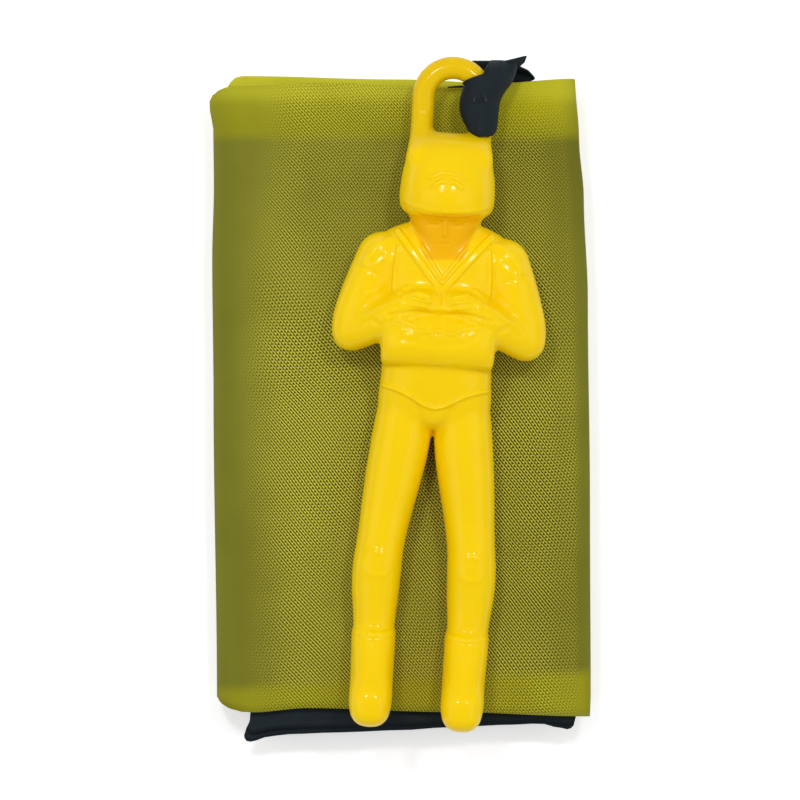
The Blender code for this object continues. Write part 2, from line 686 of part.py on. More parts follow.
def strap_rows():
    """The strap's rows from its round end to the fold line: place along, level and half width."""
    wall = PACK_TOP + RISER_WALL_CLEARANCE + RISER_THICKNESS / 2
    rows = []
    for i in range(1, DISC_STEPS + 1):
        a = math.pi / 2 * i / DISC_STEPS
        y = RISER_PIVOT.y - RISER_DISC_RADIUS * math.cos(a)
        rows.append((y, RISER_LEVEL, RISER_DISC_RADIUS * math.sin(a)))
    rows.append((wall - 2 * RISER_BEND, RISER_LEVEL, RISER_WIDTH / 2))
    for i in range(BEND_STEPS + 1):
        a = math.pi / 2 * i / BEND_STEPS
        y = wall - RISER_BEND + RISER_BEND * math.sin(a)
        rows.append((y, RISER_LEVEL + RISER_BEND - RISER_BEND * math.cos(a), RISER_WIDTH / 2))
    foot = RISER_LEVEL + RISER_BEND
    top = FOLD_LINE.z - FOLD_CLEARANCE
    for part in WALL_RISE_SHARES:
        half = (RISER_WIDTH + (RISER_TOP_WIDTH - RISER_WIDTH) * part) / 2
        rows.append((wall + (FOLD_LINE.y - wall) * part, foot + (top - foot) * part, half))
    return rows


def make_strap(group, carrier, material):
    """The riser's free part: flat inside the pack, then up the pack's top edge to the fold line."""
    bm = bmesh.new()
    lines = []
    for y, z, half in strap_rows():
        lines.append([bm.verts.new((RISER_PIVOT.x + half * share, y, z)) for share in STRAP_ACROSS_SHARES])
    for one, other in zip(lines, lines[1:]):
        for i in range(len(one) - 1):
            bm.faces.new((one[i], one[i + 1], other[i + 1], other[i]))
    thickened(held("riser_strap", mesh_of(bm, "riser_strap"), group, material, carrier), RISER_THICKNESS, 0)


def loop_rows():
    """The sleeve's rows: their middle on the ring's centre line, their outward side, slant and slack."""
    rows = []
    for i in range(LOOP_ROWS):
        a = LOOP_ROUND_ARCH * (1 - i / LOOP_ROWS)
        outward = Vector((math.cos(a), math.sin(a), 0))
        rows.append((outward * RING_RADIUS, outward, 0.0, LOOP_TOP_SLACK))
    for i in range(LOOP_ROWS + 1):
        part = i / LOOP_ROWS
        slack = LOOP_TOP_SLACK + (LOOP_FOOT_SLACK - LOOP_TOP_SLACK) * part
        place = Vector((RING_RADIUS, -LOOP_DOWN_LEG * part, 0))
        rows.append((place, Vector((1, 0, 0)), LOOP_TONGUE * part, slack))
    return rows


def make_loop(group, forms, carrier, material):
    """The sleeve round the ring's right leg, and the web that joins it to the fold line."""
    frame = jumper_frame()
    rows = loop_rows()
    rings = []
    for i, (middle, outward, tongue, slack) in enumerate(rows):
        bulge = LOOP_BULGE * math.sin(math.pi * i / (len(rows) - 1))
        centre = middle - outward * LOOP_INWARD + Vector((0, 0, RING_ABOVE_BACK))
        height = TUBE_CLEAR_RADIUS + LOOP_WALL / 2 + bulge
        front = Vector((0, -tongue, height))
        rings.append(ring_of_points(centre, outward * (TUBE_CLEAR_RADIUS + slack), front, LIMB_ROUND_SHARE))
    bm = bmesh.new()
    skinned(bm, rings, closed_ends=False)
    bm.transform(frame)
    loop = held("riser_loop", mesh_of(bm, "riser_loop"), group, material, carrier)
    thickened(loop, LOOP_WALL, 0)

    half = RISER_TOP_WIDTH / 2
    leg = frame @ Vector((RING_RADIUS, 0, 0))
    start = FOLD_LINE.y - FOLD_CLEARANCE
    shoulder = start - half * WEB_SHOULDER_SHARE
    outline = [
        (leg.x + half * WEB_LEG_LEFT_SHARE, leg.y),
        (leg.x + half * WEB_LEG_RIGHT_SHARE, leg.y),
        (FOLD_LINE.x + half, shoulder),
        (FOLD_LINE.x + half, start),
        (FOLD_LINE.x - half, start),
        (FOLD_LINE.x - half, shoulder),
    ]
    low = WEB_LEVEL - LOOP_WALL / 2
    joined_to(loop, plate("form web", outline, low, low + LOOP_WALL, forms, carrier, material), "with the web")


def bar_tack(name, centre, width, height, group, carrier, material):
    """A zigzag of thread."""
    points = []
    for i in range(TACK_STROKES + 1):
        across = i / TACK_STROKES - MIDDLE_SHARE
        up = MIDDLE_SHARE if i % 2 else -MIDDLE_SHARE
        points.append(centre + Vector((across * width, up * height, 0)))
    bm = tube_mesh(name, points, THREAD_RADIUS, THREAD_RESOLUTION)
    held(name, mesh_of(bm, name), group, material, carrier)


def make_tacks(group, front, jumper, material):
    tail_face = RISER_LEVEL + RISER_THICKNESS / 2
    seam = PANEL_TOP + CLOTH_GAP + TAIL_SEAM_DEPTH / 2
    place = Vector((RISER_PIVOT.x, seam, tail_face + CLOTH_GAP + THREAD_RADIUS))
    bar_tack("tail_bar_tack", place, TAIL_TACK_WIDTH, TAIL_TACK_HEIGHT, group, front, material)
    leg = jumper_frame() @ Vector((RING_RADIUS - LOOP_INWARD, 0, 0))
    loop_face = RING_LEVEL + TUBE_CLEAR_RADIUS + LOOP_WALL + LOOP_BULGE
    place = Vector((leg.x, leg.y, loop_face + CLOTH_GAP + THREAD_RADIUS))
    bar_tack("loop_bar_tack", place, LOOP_TACK_WIDTH, LOOP_TACK_HEIGHT, group, jumper, material)


def main():
    parts, forms = cleared()
    plastic = finish("yellow plastic", YELLOW, 0.25)
    crown = finish("green nylon", GREEN, 0.6)
    black = finish("black nylon", BLACK, 0.6)
    thread = finish("black thread", THREAD, 0.7)

    back = pivot("canopy back", Vector(), parts)
    front = pivot("open axis", OPEN_LINE, parts, back)
    riser = pivot("sway axis", RISER_PIVOT, parts, front)
    jumper = pivot("fold axis", FOLD_LINE, parts, riser)

    make_canopy(parts, back, front, crown)
    make_panels(parts, back, front, black)
    make_tail(parts, front, black)
    make_strap(parts, riser, black)
    make_loop(parts, forms, jumper, black)
    make_tacks(parts, front, jumper, thread)
    make_jumper(parts, forms, jumper, plastic)
    bpy.context.view_layer.update()


main()
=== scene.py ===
"""A packed toy parachute, dressed around its CAD frame: folded crown, black panels, riser and moulded jumper."""

import math

import bmesh
import bpy
import numpy as np
from mathutils import Matrix, Vector


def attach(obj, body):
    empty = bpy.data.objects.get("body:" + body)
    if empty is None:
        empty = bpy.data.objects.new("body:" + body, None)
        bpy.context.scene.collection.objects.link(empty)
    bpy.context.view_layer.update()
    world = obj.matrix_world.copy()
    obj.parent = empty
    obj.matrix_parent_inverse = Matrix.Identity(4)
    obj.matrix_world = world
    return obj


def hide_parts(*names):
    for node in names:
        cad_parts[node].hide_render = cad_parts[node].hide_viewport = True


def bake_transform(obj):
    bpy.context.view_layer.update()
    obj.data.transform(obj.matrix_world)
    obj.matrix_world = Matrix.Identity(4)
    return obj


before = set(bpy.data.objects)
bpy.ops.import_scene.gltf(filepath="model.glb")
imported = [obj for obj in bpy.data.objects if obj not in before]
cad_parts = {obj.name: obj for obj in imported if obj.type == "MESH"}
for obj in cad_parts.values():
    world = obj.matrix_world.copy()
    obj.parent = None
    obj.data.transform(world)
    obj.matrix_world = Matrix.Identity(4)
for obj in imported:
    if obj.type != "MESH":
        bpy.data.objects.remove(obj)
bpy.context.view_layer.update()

bl_info = {
    "name": "Toy parachute",
    "version": (1, 0, 0),
    "blender": (4, 5, 0),
    "location": "3D View > Sidebar > Toy parachute",
    "description": "Builds the looks of a packed toy parachute around its CAD frame",
    "category": "Object",
}

MM = 0.001
TURN = 2 * math.pi

# The pack, as the CAD has it
PACK_WIDTH = 56.9 * MM
PACK_LENGTH = 94.5 * MM
PACK_HEIGHT = 9.5 * MM
SPLIT_LEVEL = PACK_HEIGHT / 2
FOLD_ROUNDING = 6.0 * MM
PANEL_TOP = 38.75 * MM
STACK_HALF_LENGTH = 44.3 * MM
CROWN_ROWS = 4
PANEL_PLIES = 8

# The pack's edges: a share along the edge, then its place as a share of the pack's width or length
LEFT_EDGE = ((0.0, -0.480), (0.5, -0.489), (0.735, -0.4925), (0.86, -0.488), (0.95, -0.4895), (0.99, -0.499), (1.0, -0.4995))
RIGHT_EDGE = ((0.0, 0.4975), (0.03, 0.4995), (0.34, 0.4975), (0.656, 0.492), (0.814, 0.4815), (0.908, 0.469), (1.0, 0.459))
TOP_EDGE = (
    (0.0, 0.4725), (0.012, 0.4815), (0.03, 0.4885), (0.05, 0.4920), (0.1, 0.4925), (0.32, 0.4985), (0.62, 0.4900),
    (0.69, 0.4905), (0.80, 0.4985), (1.0, 0.505),
)
BOTTOM_EDGE = (
    (0.0, -0.469), (0.012, -0.479), (0.03, -0.4855), (0.05, -0.4895), (0.07, -0.492), (0.1, -0.4925), (0.24, -0.4857),
    (0.62, -0.492), (1.0, -0.499),
)
BACK_TOP_EDGE = (
    (0.0, 0.4725), (0.036, 0.4735), (0.052, 0.500), (0.066, 0.5085), (0.09, 0.5115), (0.52, 0.506), (0.8, 0.500),
    (1.0, 0.498),
)
BACK_BOTTOM_EDGE = ((0.0, -0.4665), (0.06, -0.480), (0.5, -0.484), (1.0, -0.488))
FOOT_EDGE = (
    (0.0, -0.528), (0.012, -0.5385), (0.03, -0.5400), (0.065, -0.533), (0.125, -0.528), (0.29, -0.525),
    (0.47, -0.5215), (0.63, -0.5165), (0.80, -0.513), (0.89, -0.511), (0.955, -0.518), (0.98, -0.5205),
    (0.992, -0.516), (1.0, -0.500),
)
FOOT_SIDE = ((-0.5365, -0.415), (-0.521, -0.404), (-0.506, -0.393))
FOOT_RIGHT = 0.461
FOOT_DROPS = (0.72, 1.0, 0.45, 0.20)
PLY_DROPS = (0.0, 0.14, 0.05, 0.22, 0.10, 0.30, 0.02, 0.17)

# The joints' places, as the CAD has them
FOLD_LINE = Vector((14.0, 50.85, 12.075)) * MM
RISER_LEVEL = 7.05 * MM

# The jumper's own frame: x to the right, y up the body from the ring's centre, z off its back
JUMPER = Matrix.Translation(Vector((7.9, 45.0, 9.8)) * MM) @ Matrix.Rotation(-math.radians(3.5), 4, "Z")
RING_RADIUS = 4.4 * MM
RING_TUBE = 1.7 * MM
RING_LEG = 8.0 * MM
RING_LEVEL = 4.5 * MM

# Rows of a moulded form, in mm: down the body, out from the middle, half width, back, front
HELMET_ROWS = (
    (5.3, 0, 3.2, 3.8, 6.7), (5.7, 0, 5.0, 2.7, 7.9), (6.6, 0, 5.95, 1.7, 9.3), (8.2, 0, 6.25, 0.9, 10.8),
    (10.2, 0, 6.6, 0.4, 12.4), (11.8, 0, 6.9, 0.1, 13.15), (13.4, 0, 7.05, 0.05, 13.47), (14.9, 0, 7.1, 0.05, 13.5),
    (16.2, 0, 7.0, 0.25, 13.0), (16.95, 0, 6.6, 0.6, 12.4), (17.3, 0, 5.9, 1.0, 11.8),
)
FACE_ROWS = (
    (15.0, 0, 6.0, 2.3, 11.2), (17.0, 0, 5.9, 2.3, 11.4), (18.9, 0, 5.0, 2.5, 11.1), (20.8, 0, 4.15, 3.2, 10.7),
    (22.3, 0, 3.45, 4.2, 10.3), (23.5, 0, 2.8, 5.2, 9.9), (24.1, 0, 2.2, 6.0, 9.4), (24.4, 0, 1.2, 6.8, 8.6),
)
NECK_ROWS = ((16.0, 0, 4.0, 1.1, 7.1), (25.0, 0, 4.4, 1.1, 7.6))
TORSO_ROWS = (
    (18.5, 0, 4.0, 2.1, 6.4), (19.3, 0, 6.6, 1.4, 7.6), (20.5, 0, 8.8, 0.9, 8.9), (22.3, 0, 10.1, 0.5, 9.9),
    (25.5, 0, 9.9, 0.3, 10.4), (29.2, 0, 8.8, 0.05, 10.6), (32.8, 0, 8.3, 0.05, 10.8), (37.1, 0, 8.15, 0.2, 10.9),
    (41.4, 0, 8.2, 0.2, 10.8), (45.0, 0, 8.4, 0.1, 10.1), (48.1, 0, 8.0, 0.4, 9.1), (49.3, 0, 6.5, 1.3, 7.6),
)
LEG_ROWS = (
    (44.0, 4.06, 3.7, 0.7, 8.6), (47.0, 4.34, 4.15, 0.5, 9.1), (52.1, 4.75, 4.4, 0.4, 9.2), (57.3, 5.46, 4.2, 0.6, 8.85),
    (62.5, 6.2, 3.8, 0.8, 8.45), (66.9, 6.75, 3.6, 0.85, 8.5), (69.9, 7.0, 3.65, 0.85, 8.6),
    (73.6, 7.07, 3.56, 0.75, 8.0), (77.3, 7.0, 3.2, 1.0, 7.4), (81.0, 6.93, 2.95, 1.2, 7.05),
)
BOOT_ROWS = (
    (79.6, 6.93, 3.05, 0.7, 7.4), (79.9, 6.93, 3.3, 0.5, 7.7), (82.6, 6.9, 3.25, 0.3, 8.6), (85.4, 6.85, 3.2, 0.1, 9.5),
    (87.8, 6.82, 3.15, 0.05, 10.3), (90.0, 6.8, 3.0, 0.3, 11.0), (91.6, 6.83, 2.4, 1.2, 11.0),
)
# The foot points up off the pack: level off the back, down the body, half width, half height
FOOT_ROWS = (
    (0.5, 89.0, 2.1, 3.6), (1.1, 89.2, 2.8, 4.4), (3.2, 89.3, 3.15, 4.8), (6.2, 89.3, 3.22, 4.8), (8.2, 89.7, 3.2, 4.4),
    (9.8, 90.3, 3.0, 3.6), (11.0, 90.8, 2.4, 2.7), (11.6, 91.0, 1.3, 1.4),
)
RESERVE_ROWS = (
    (32.5, 0, 7.0, 6.6, 11.0), (33.1, 0, 8.2, 6.2, 12.2), (34.0, 0, 8.5, 6.0, 12.75), (35.2, 0, 8.55, 6.0, 13.05),
    (36.4, 0, 8.55, 6.0, 13.2), (37.4, 0, 8.5, 6.0, 13.2), (38.6, 0, 8.45, 6.0, 12.8), (39.7, 0, 8.35, 6.2, 12.0),
    (40.3, 0, 8.1, 6.6, 10.9),
)

# Lines in the moulding, in mm: points right of the middle and down the body, half width, height, edge share.
# Each is repeated on the left. A low edge share gives a round line and a high one a flat band.
PAIRED_LINES = (
    ("harness", ((6.9, 20.7), (5.4, 22.4), (3.2, 25.1), (0.25, 28.7)), 0.60, 0.42, 0.7),
    ("collar", ((3.3, 22.4), (1.9, 24.4), (0.2, 26.9)), 0.34, 0.30, 0.3),
    ("vest edge", ((6.7, 22.6), (7.05, 26.0), (6.95, 29.3), (6.1, 29.5), (4.9, 28.6)), 0.40, 0.38, 0.2),
    ("shoulder fold", ((8.0, 21.6), (10.0, 23.0), (11.6, 25.4)), 0.75, 0.24, 0.0),
    ("shoulder crease", ((9.2, 24.2), (10.9, 25.3)), 0.55, -0.14, 0.0),
    ("sleeve seam", ((9.3, 27.0), (11.2, 26.4), (13.3, 25.7)), 0.40, -0.16, 0.0),
    ("sleeve fold", ((10.0, 29.6), (11.4, 30.4), (12.6, 32.4)), 0.60, 0.14, 0.0),
    ("elbow crease", ((9.0, 34.4), (10.6, 33.6), (12.2, 34.4)), 0.60, -0.16, 0.0),
    ("cuff", ((5.6, 29.9), (6.0, 33.2)), 0.45, 0.16, 0.3),
    ("finger", ((1.7, 29.9), (3.9, 29.3)), 0.36, 0.28, 0.0),
    ("finger", ((1.6, 30.7), (4.1, 30.2)), 0.36, 0.26, 0.0),
    ("finger", ((1.7, 31.5), (4.0, 31.2)), 0.36, 0.20, 0.0),
    ("pack top crease", ((0.2, 32.5), (4.0, 32.3), (7.6, 32.9)), 0.55, -0.24, 0.0),
    ("hem", ((8.0, 43.3), (5.6, 43.9), (3.4, 44.9), (1.6, 45.9), (0.2, 46.3)), 0.46, 0.36, 0.1),
    ("crotch", ((2.6, 46.4), (1.7, 48.4), (0.5, 51.2)), 0.95, -0.22, 0.0),
    ("knee fold", ((6.0, 68.3), (7.1, 68.1), (8.2, 68.3)), 0.75, 0.18, 0.0),
    ("knee fold", ((5.7, 71.3), (7.0, 71.6), (8.2, 71.4)), 0.75, 0.16, 0.0),
    ("boot cuff", ((3.4, 80.0), (7.0, 80.4), (10.4, 80.0)), 0.50, 0.20, 0.4),
    ("goggle top", ((0.0, 11.5), (1.3, 11.7), (2.5, 12.3)), 0.46, 0.34, 0.0),
    ("goggle foot", ((0.45, 12.8), (1.2, 12.85), (2.1, 13.6)), 0.44, 0.34, 0.0),
    ("brim", ((0.0, 17.2), (3.4, 16.9), (6.2, 16.0), (7.2, 15.4)), 0.50, 0.12, 0.2),
    ("brow shadow", ((0.0, 18.3), (2.8, 18.1), (4.8, 17.6)), 0.45, -0.16, 0.0),
    ("eye", ((1.35, 19.2), (2.45, 19.1)), 0.40, -0.14, 0.0),
)
MIDDLE_LINES = (
    ("vest seam", ((0.3, 28.7), (0.3, 31.0)), 0.34, 0.26, 0.1),
    ("knot", ((0.3, 28.5), (0.3, 29.1)), 0.62, 0.26, 0.2),
    ("nose", ((0.0, 18.8), (0.0, 20.5)), 0.55, 0.34, 0.0),
    ("mouth", ((-0.9, 21.9), (0.9, 21.9)), 0.26, -0.12, 0.0),
    ("lap of the vest", ((-1.6, 31.8), (0.0, 31.5), (1.6, 31.8)), 0.50, 0.24, 0.0),
    ("pack fold", ((-6.4, 33.7), (-5.2, 33.8), (-4.0, 34.3)), 0.50, 0.20, 0.0),
    ("pack fold", ((-3.0, 34.9), (-2.0, 35.2), (-1.2, 35.0)), 0.45, 0.24, 0.0),
    ("pack fold", ((-0.5, 34.8), (0.4, 35.0)), 0.42, 0.20, 0.0),
    ("pack fold", ((1.2, 35.2), (2.2, 35.2), (3.0, 34.8)), 0.45, 0.24, 0.0),
    ("pack fold", ((3.6, 34.5), (4.8, 34.2), (6.2, 34.1)), 0.50, 0.20, 0.0),
    ("pack fold", ((-5.4, 36.4), (-1.0, 36.9), (3.6, 36.5)), 0.70, -0.10, 0.0),
    ("pack ripple", ((-5.7, 33.6), (-5.3, 34.9)), 0.75, 0.13, 0.0),
    ("pack ripple", ((-3.5, 33.8), (-3.2, 35.4)), 0.80, 0.13, 0.0),
    ("pack ripple", ((-1.5, 34.0), (-1.0, 35.6)), 0.70, 0.14, 0.0),
    ("pack ripple", ((0.9, 34.1), (0.8, 35.7)), 0.70, 0.14, 0.0),
    ("pack ripple", ((3.1, 33.8), (2.7, 35.5)), 0.80, 0.13, 0.0),
    ("pack ripple", ((5.3, 33.6), (5.0, 35.1)), 0.75, 0.13, 0.0),
)
LINE_FRONT = 0.25
MOULD_VOXEL = 0.31 * MM
# Where the moulding's forms run softly into each other, in mm: the ring's feet, the arms and the boots
SOFT_BOXES = ((-7.5, 7.5, -10.5, -4.2, 5.0), (-12.5, 12.5, -32.4, -26.5, 6.5), (-11, 11, -92, -83, 5.0))


def linear(red, green, blue):
    """A colour as a screen shows it, 0 to 255, as light."""
    parts = (value / 255 for value in (red, green, blue))
    return tuple(p / 12.92 if p <= 0.04045 else ((p + 0.055) / 1.055) ** 2.4 for p in parts)


def share_at(table, along):
    """The value at a place along an edge, smoothly between those that its table gives."""
    for (low, a), (high, b) in zip(table, table[1:]):
        if along <= high:
            part = max(0.0, (along - low) / (high - low))
            part = part * part * (3 - 2 * part)
            return a + (b - a) * part
    return table[-1][1]


def eased(part):
    """0 up to 0, 1 from 1 on, and smooth between them."""
    part = min(1.0, max(0.0, part))
    return part * part * (3 - 2 * part)


def even(steps):
    return [i / steps for i in range(steps + 1)]


class Field:
    """A value in a material: Python's operators on it add Math nodes."""

    def __init__(self, paint, socket):
        self.paint = paint
        self.socket = socket

    def math(self, operation, *values):
        return self.paint.node("ShaderNodeMath", {"operation": operation}, dict(enumerate(values)))

    def __add__(self, other):
        return self.math("ADD", self, other)

    __radd__ = __add__

    def __sub__(self, other):
        return self.math("SUBTRACT", self, other)

    def __rsub__(self, other):
        return self.math("SUBTRACT", other, self)

    def __mul__(self, other):
        return self.math("MULTIPLY", self, other)

    __rmul__ = __mul__

    def sine(self):
        return self.math("SINE", self)

    def size(self):
        return self.math("ABSOLUTE", self)

    def rise(self, low, high):
        """0 below low, 1 above high, and smooth between them."""
        return self.paint.node(
            "ShaderNodeMapRange",
            {"interpolation_type": "SMOOTHSTEP"},
            {"Value": self, "From Min": low, "From Max": high},
        )


class Paint:
    """A material made of nodes, around one Principled shader."""

    def __init__(self, name, **constants):
        self.material = bpy.data.materials.new(name)
        self.material.use_nodes = True
        self.tree = self.material.node_tree
        self.shader = self.tree.nodes["Principled BSDF"]
        for socket, value in constants.items():
            self.shader.inputs[socket.replace("_", " ")].default_value = value

    def node(self, kind, settings=None, values=None, output=0):
        made = self.tree.nodes.new(kind)
        for name, value in (settings or {}).items():
            setattr(made, name, value)
        for key, value in (values or {}).items():
            self.feed(made.inputs[key], value)
        return Field(self, made.outputs[output])

    def feed(self, socket, value):
        if isinstance(value, Field):
            self.tree.links.new(value.socket, socket)
        elif hasattr(value, "__len__") and len(value) == 3 and socket.type == "RGBA":
            socket.default_value = (*value, 1)
        else:
            socket.default_value = value

    def mix(self, share, one, other):
        return self.node("ShaderNodeMix", {"data_type": "RGBA"}, {0: share, 6: one, 7: other}, 2)

    def noise(self, vector, scale, detail=2.0):
        return self.node("ShaderNodeTexNoise", None, {"Vector": vector, "Scale": scale, "Detail": detail})

    def split(self, vector):
        made = self.node("ShaderNodeSeparateXYZ", None, {0: vector}).socket.node
        return [Field(self, made.outputs[i]) for i in range(3)]

    def cloth_place(self):
        return self.node("ShaderNodeUVMap", {"uv_map": "cloth"})

    def object_place(self):
        return self.node("ShaderNodeTexCoord", None, None, "Object")

    def finish(self, colour, roughness=None, height=None, depth=0.0):
        self.feed(self.shader.inputs["Base Color"], colour)
        if roughness is not None:
            self.feed(self.shader.inputs["Roughness"], roughness)
        if height is not None:
            bump = self.node("ShaderNodeBump", None, {"Height": height, "Distance": depth, "Strength": 1.0})
            self.feed(self.shader.inputs["Normal"], bump)
        return self.material


def threads(across, along, period):
    """The weave's waves, from -1 to 1: its falling lines, the same at half their number, and the dashes across them."""
    turns = TURN / period
    falling = (across * 0.773 + along * 0.634) * turns
    dashes = (across * 0.416 - along * 0.510) * turns
    return falling.sine(), (falling * 0.5).sine(), dashes.sine()


def crown_cloth(look):
    """Thin yellow-green nylon: its weave shows as short bright dashes, and the black panels darken it."""
    paint = Paint("crown cloth", Specular_IOR_Level=0.06)
    place = paint.cloth_place()
    across, along, _ = paint.split(place)
    drift = paint.noise(place, 30.0, 1.0)
    sway = paint.noise(place, 60.0, 1.0)
    falling, pairs, dashes = threads(across + drift * 0.0030, along + sway * 0.0018, look.weave_period)
    share = paint.noise(place, 55.0, 2.0).rise(0.36, 0.64)
    faint = paint.noise(place, 85.0, 1.0).rise(0.30, 0.62) * 0.40 + 0.66
    wave = falling * (0.92 - share * 0.34) + dashes * (pairs * (0.42 + share * 0.30) + 0.20)
    cloud = paint.noise(place, 120.0, 3.0)
    over_top = along.rise(0.0381, 0.0403)
    over_bottom = 1 - (along - across * 0.048).rise(-0.0430, -0.0406)
    bare = over_top + over_bottom
    upper = (across - along.rise(0.020, 0.045) * 0.0035).rise(-0.0262, -0.0165) * (1 - across.rise(0.0252, 0.0272))
    fuller = across.rise(0.010, 0.014) * 0.18 - across.rise(0.0205, 0.0245) * 0.40
    fuller = fuller + (1 - along.rise(0.002, 0.027)) * 0.36 - (1 - along.rise(-0.034, -0.014)) * 0.22
    upper = upper * (fuller + 0.70 + over_top * 0.30)
    inner = across.rise(0.0310, 0.0350) + (1 - across.rise(-0.0440, -0.0400))
    weave = (wave * (upper + inner * 0.6) * faint) * 0.5 + 0.5
    # Painted light: at the crown's upper right the dashes and the gaps between them are lighter
    right = across.rise(0.002, 0.022) * along.rise(0.036, 0.0465)
    rim = 1 - along.rise(-0.0470, -0.0461)
    dark = paint.mix(bare, look.gap_over_black, look.gap_bare)
    dark = paint.mix(right * 0.7, dark, look.thread_at_light)
    bright = paint.mix(bare, look.thread_over_black, look.thread_bare)
    bright = paint.mix(right, bright, look.thread_at_light)
    woven = paint.mix(weave.rise(0.16, 0.84), dark, bright)
    plain = paint.mix(bare, look.fold_over_black, look.fold_bare)
    colour = paint.mix(upper * 0.90 + inner * 0.60 + 0.02, plain, woven)
    front = across.rise(-0.0360, -0.0300) * (1 - across.rise(0.0285, 0.0310))
    strip = along.rise(0.0464, 0.0472) * (1 - front)
    pale = (1 - across.rise(-0.0282, -0.0266)) * across.rise(-0.0400, -0.0340)
    # Painted shade on the front ply, in the dark gap colour: darker towards the right edge and more so in the lower
    # half, beside the left fold in its lower half, and over the upper part from the figure's head rightwards
    below = 1 - along.rise(-0.030, 0.004)
    beside_fold = across.rise(-0.0265, -0.0235) * (1 - across.rise(-0.0210, -0.0140))
    shade = across.rise(0.008, 0.024) * (1 - across.rise(0.0262, 0.0278)) * (below * 0.14 + 0.14)
    shade = shade + beside_fold * below * 0.16
    shade = shade + across.rise(-0.0200, -0.0120) * along.rise(0.0190, 0.0320) * 0.17
    colour = paint.mix(front * (1 - bare) * shade, colour, look.gap_over_black)
    colour = paint.mix(front * over_top * (1 - along.rise(0.0395, 0.0450)) * 0.20, colour, look.gap_bare)
    colour = paint.mix(front * over_bottom * 0.12, colour, look.gap_bare)
    colour = paint.mix(front * along.rise(0.0436, 0.0460) * 0.36, colour, look.back_edge)
    colour = paint.mix(strip * 0.95, colour, look.back_edge)
    colour = paint.mix(pale * 0.12, colour, look.hem)
    colour = paint.mix(cloud.rise(0.3, 0.8) * 0.12, colour, look.gap_over_black)
    colour = paint.mix(rim * 0.55, colour, look.hem)
    return paint.finish(colour, 0.72 - weave * 0.12, weave, 0.00004)


def panel_cloth(look):
    """Blue-black nylon with a faint weave and a soft sheen."""
    paint = Paint("panel cloth", Specular_IOR_Level=0.16, Sheen_Weight=0.02, Sheen_Roughness=0.35)
    place = paint.cloth_place()
    across, along, _ = paint.split(place)
    turns = TURN / look.black_weave_period
    weave = (across * turns).sine() * (along * turns).sine() * 0.5 + 0.5
    cloud = paint.noise(place, 210.0, 3.0)
    colour = paint.mix(weave * 0.35, look.black, look.black_sheen)
    colour = paint.mix(cloud.rise(0.42, 0.75) * 0.35, colour, look.black_sheen)
    return paint.finish(colour, 0.56 + cloud * 0.16, weave, 0.00003)


def thread_twist(look):
    """Black sewing thread with its twist."""
    paint = Paint("thread", Sheen_Weight=0.1)
    place = paint.object_place()
    x, y, z = paint.split(place)
    twist = ((x + y * 0.6 + z) * (TURN / 0.00022)).sine() * 0.5 + 0.5
    colour = paint.mix(twist * 0.6, look.black, look.black_sheen)
    return paint.finish(colour, 0.6 - twist * 0.1, twist, 0.00002)


def moulded_plastic(look):
    """Glossy yellow plastic with faint flow marks and small scuffs, and painted shade: orange on the face and round the
    figure's sides just above the pack, and a darker head ring.
    """
    paint = Paint("yellow plastic", Specular_IOR_Level=0.18, Subsurface_Weight=0.35)
    paint.shader.inputs["Subsurface Radius"].default_value = (0.0024, 0.0011, 0.0002)
    paint.shader.inputs["Subsurface Scale"].default_value = 1.0
    place = paint.object_place()
    flow = paint.noise(place, 160.0, 2.0)
    grain = paint.noise(place, 2400.0, 2.0)
    scuff = paint.noise(place, 700.0, 4.0).rise(0.66, 0.76)
    across, up, level = paint.split(place)
    # Painted shade: the face below the helmet's brim and a band round the figure's sides just above the pack are mixed
    # towards orange
    aside = (across - 0.0066).size() - (up - 0.0212) * 0.42
    face = (1 - aside.rise(0.0024, 0.0032)) * up.rise(0.0204, 0.0212) * (1 - up.rise(0.0272, 0.0279))
    face = face * level.rise(0.0160, 0.0175)
    # Painted shade: the head ring is mixed towards a darker yellow
    ring = up.rise(0.0362, 0.0395)
    low = level.rise(0.0100, 0.0112) * (1 - level.rise(0.0112, 0.0155))
    colour = paint.mix(flow.rise(0.25, 0.75) * 0.5, look.yellow, look.yellow_deep)
    colour = paint.mix(ring * 0.80, colour, look.yellow_shaded)
    colour = paint.mix(low * 0.75 + face * 0.54, colour, look.orange_painted_shade)
    colour = paint.mix(scuff * 0.25, colour, look.yellow_pale)
    _, _, facing = paint.split(paint.node("ShaderNodeTexCoord", None, None, "Normal"))
    roughness = 0.10 + flow * 0.04 + scuff * 0.12 + (1 - facing.size().rise(0.40, 0.72)) * 0.30
    return paint.finish(colour, roughness, flow * 0.6 + grain * 0.12, 0.00009)


def piece(name, bm, material):
    """A finished object at the origin, from a bmesh in the row frame."""
    mesh = bpy.data.meshes.new(name)
    bm.to_mesh(mesh)
    bm.free()
    mesh.materials.append(material)
    mesh.shade_smooth()
    obj = bpy.data.objects.new(name, mesh)
    bpy.context.scene.collection.objects.link(obj)
    return obj


def cloth_grid(columns, rows, place, closed=False):
    """A grid of cloth whose vertices are set by place(column, row), which gives a point and its own coordinates."""
    bm = bmesh.new()
    bmesh.ops.create_grid(bm, x_segments=columns - 1, y_segments=rows - 1, size=0.5)
    if len(bm.verts) != columns * rows:
        raise RuntimeError(f"the grid has {len(bm.verts)} vertices, not {columns * rows}")
    cloth = bm.loops.layers.uv.new("cloth")
    own = {}
    for vert in bm.verts:
        column = round((vert.co.x + 0.5) * (columns - 1))
        row = round((vert.co.y + 0.5) * (rows - 1))
        vert.co, own[vert] = place(column, row)
    for face in bm.faces:
        for loop in face.loops:
            loop[cloth].uv = own[loop.vert]
    if closed:
        bmesh.ops.remove_doubles(bm, verts=bm.verts, dist=0.001 * MM)
    return bm


def thickened(obj, thickness):
    shell = obj.modifiers.new("cloth thickness", "SOLIDIFY")
    shell.thickness = thickness
    shell.offset = 0
    apply_modifiers(obj)


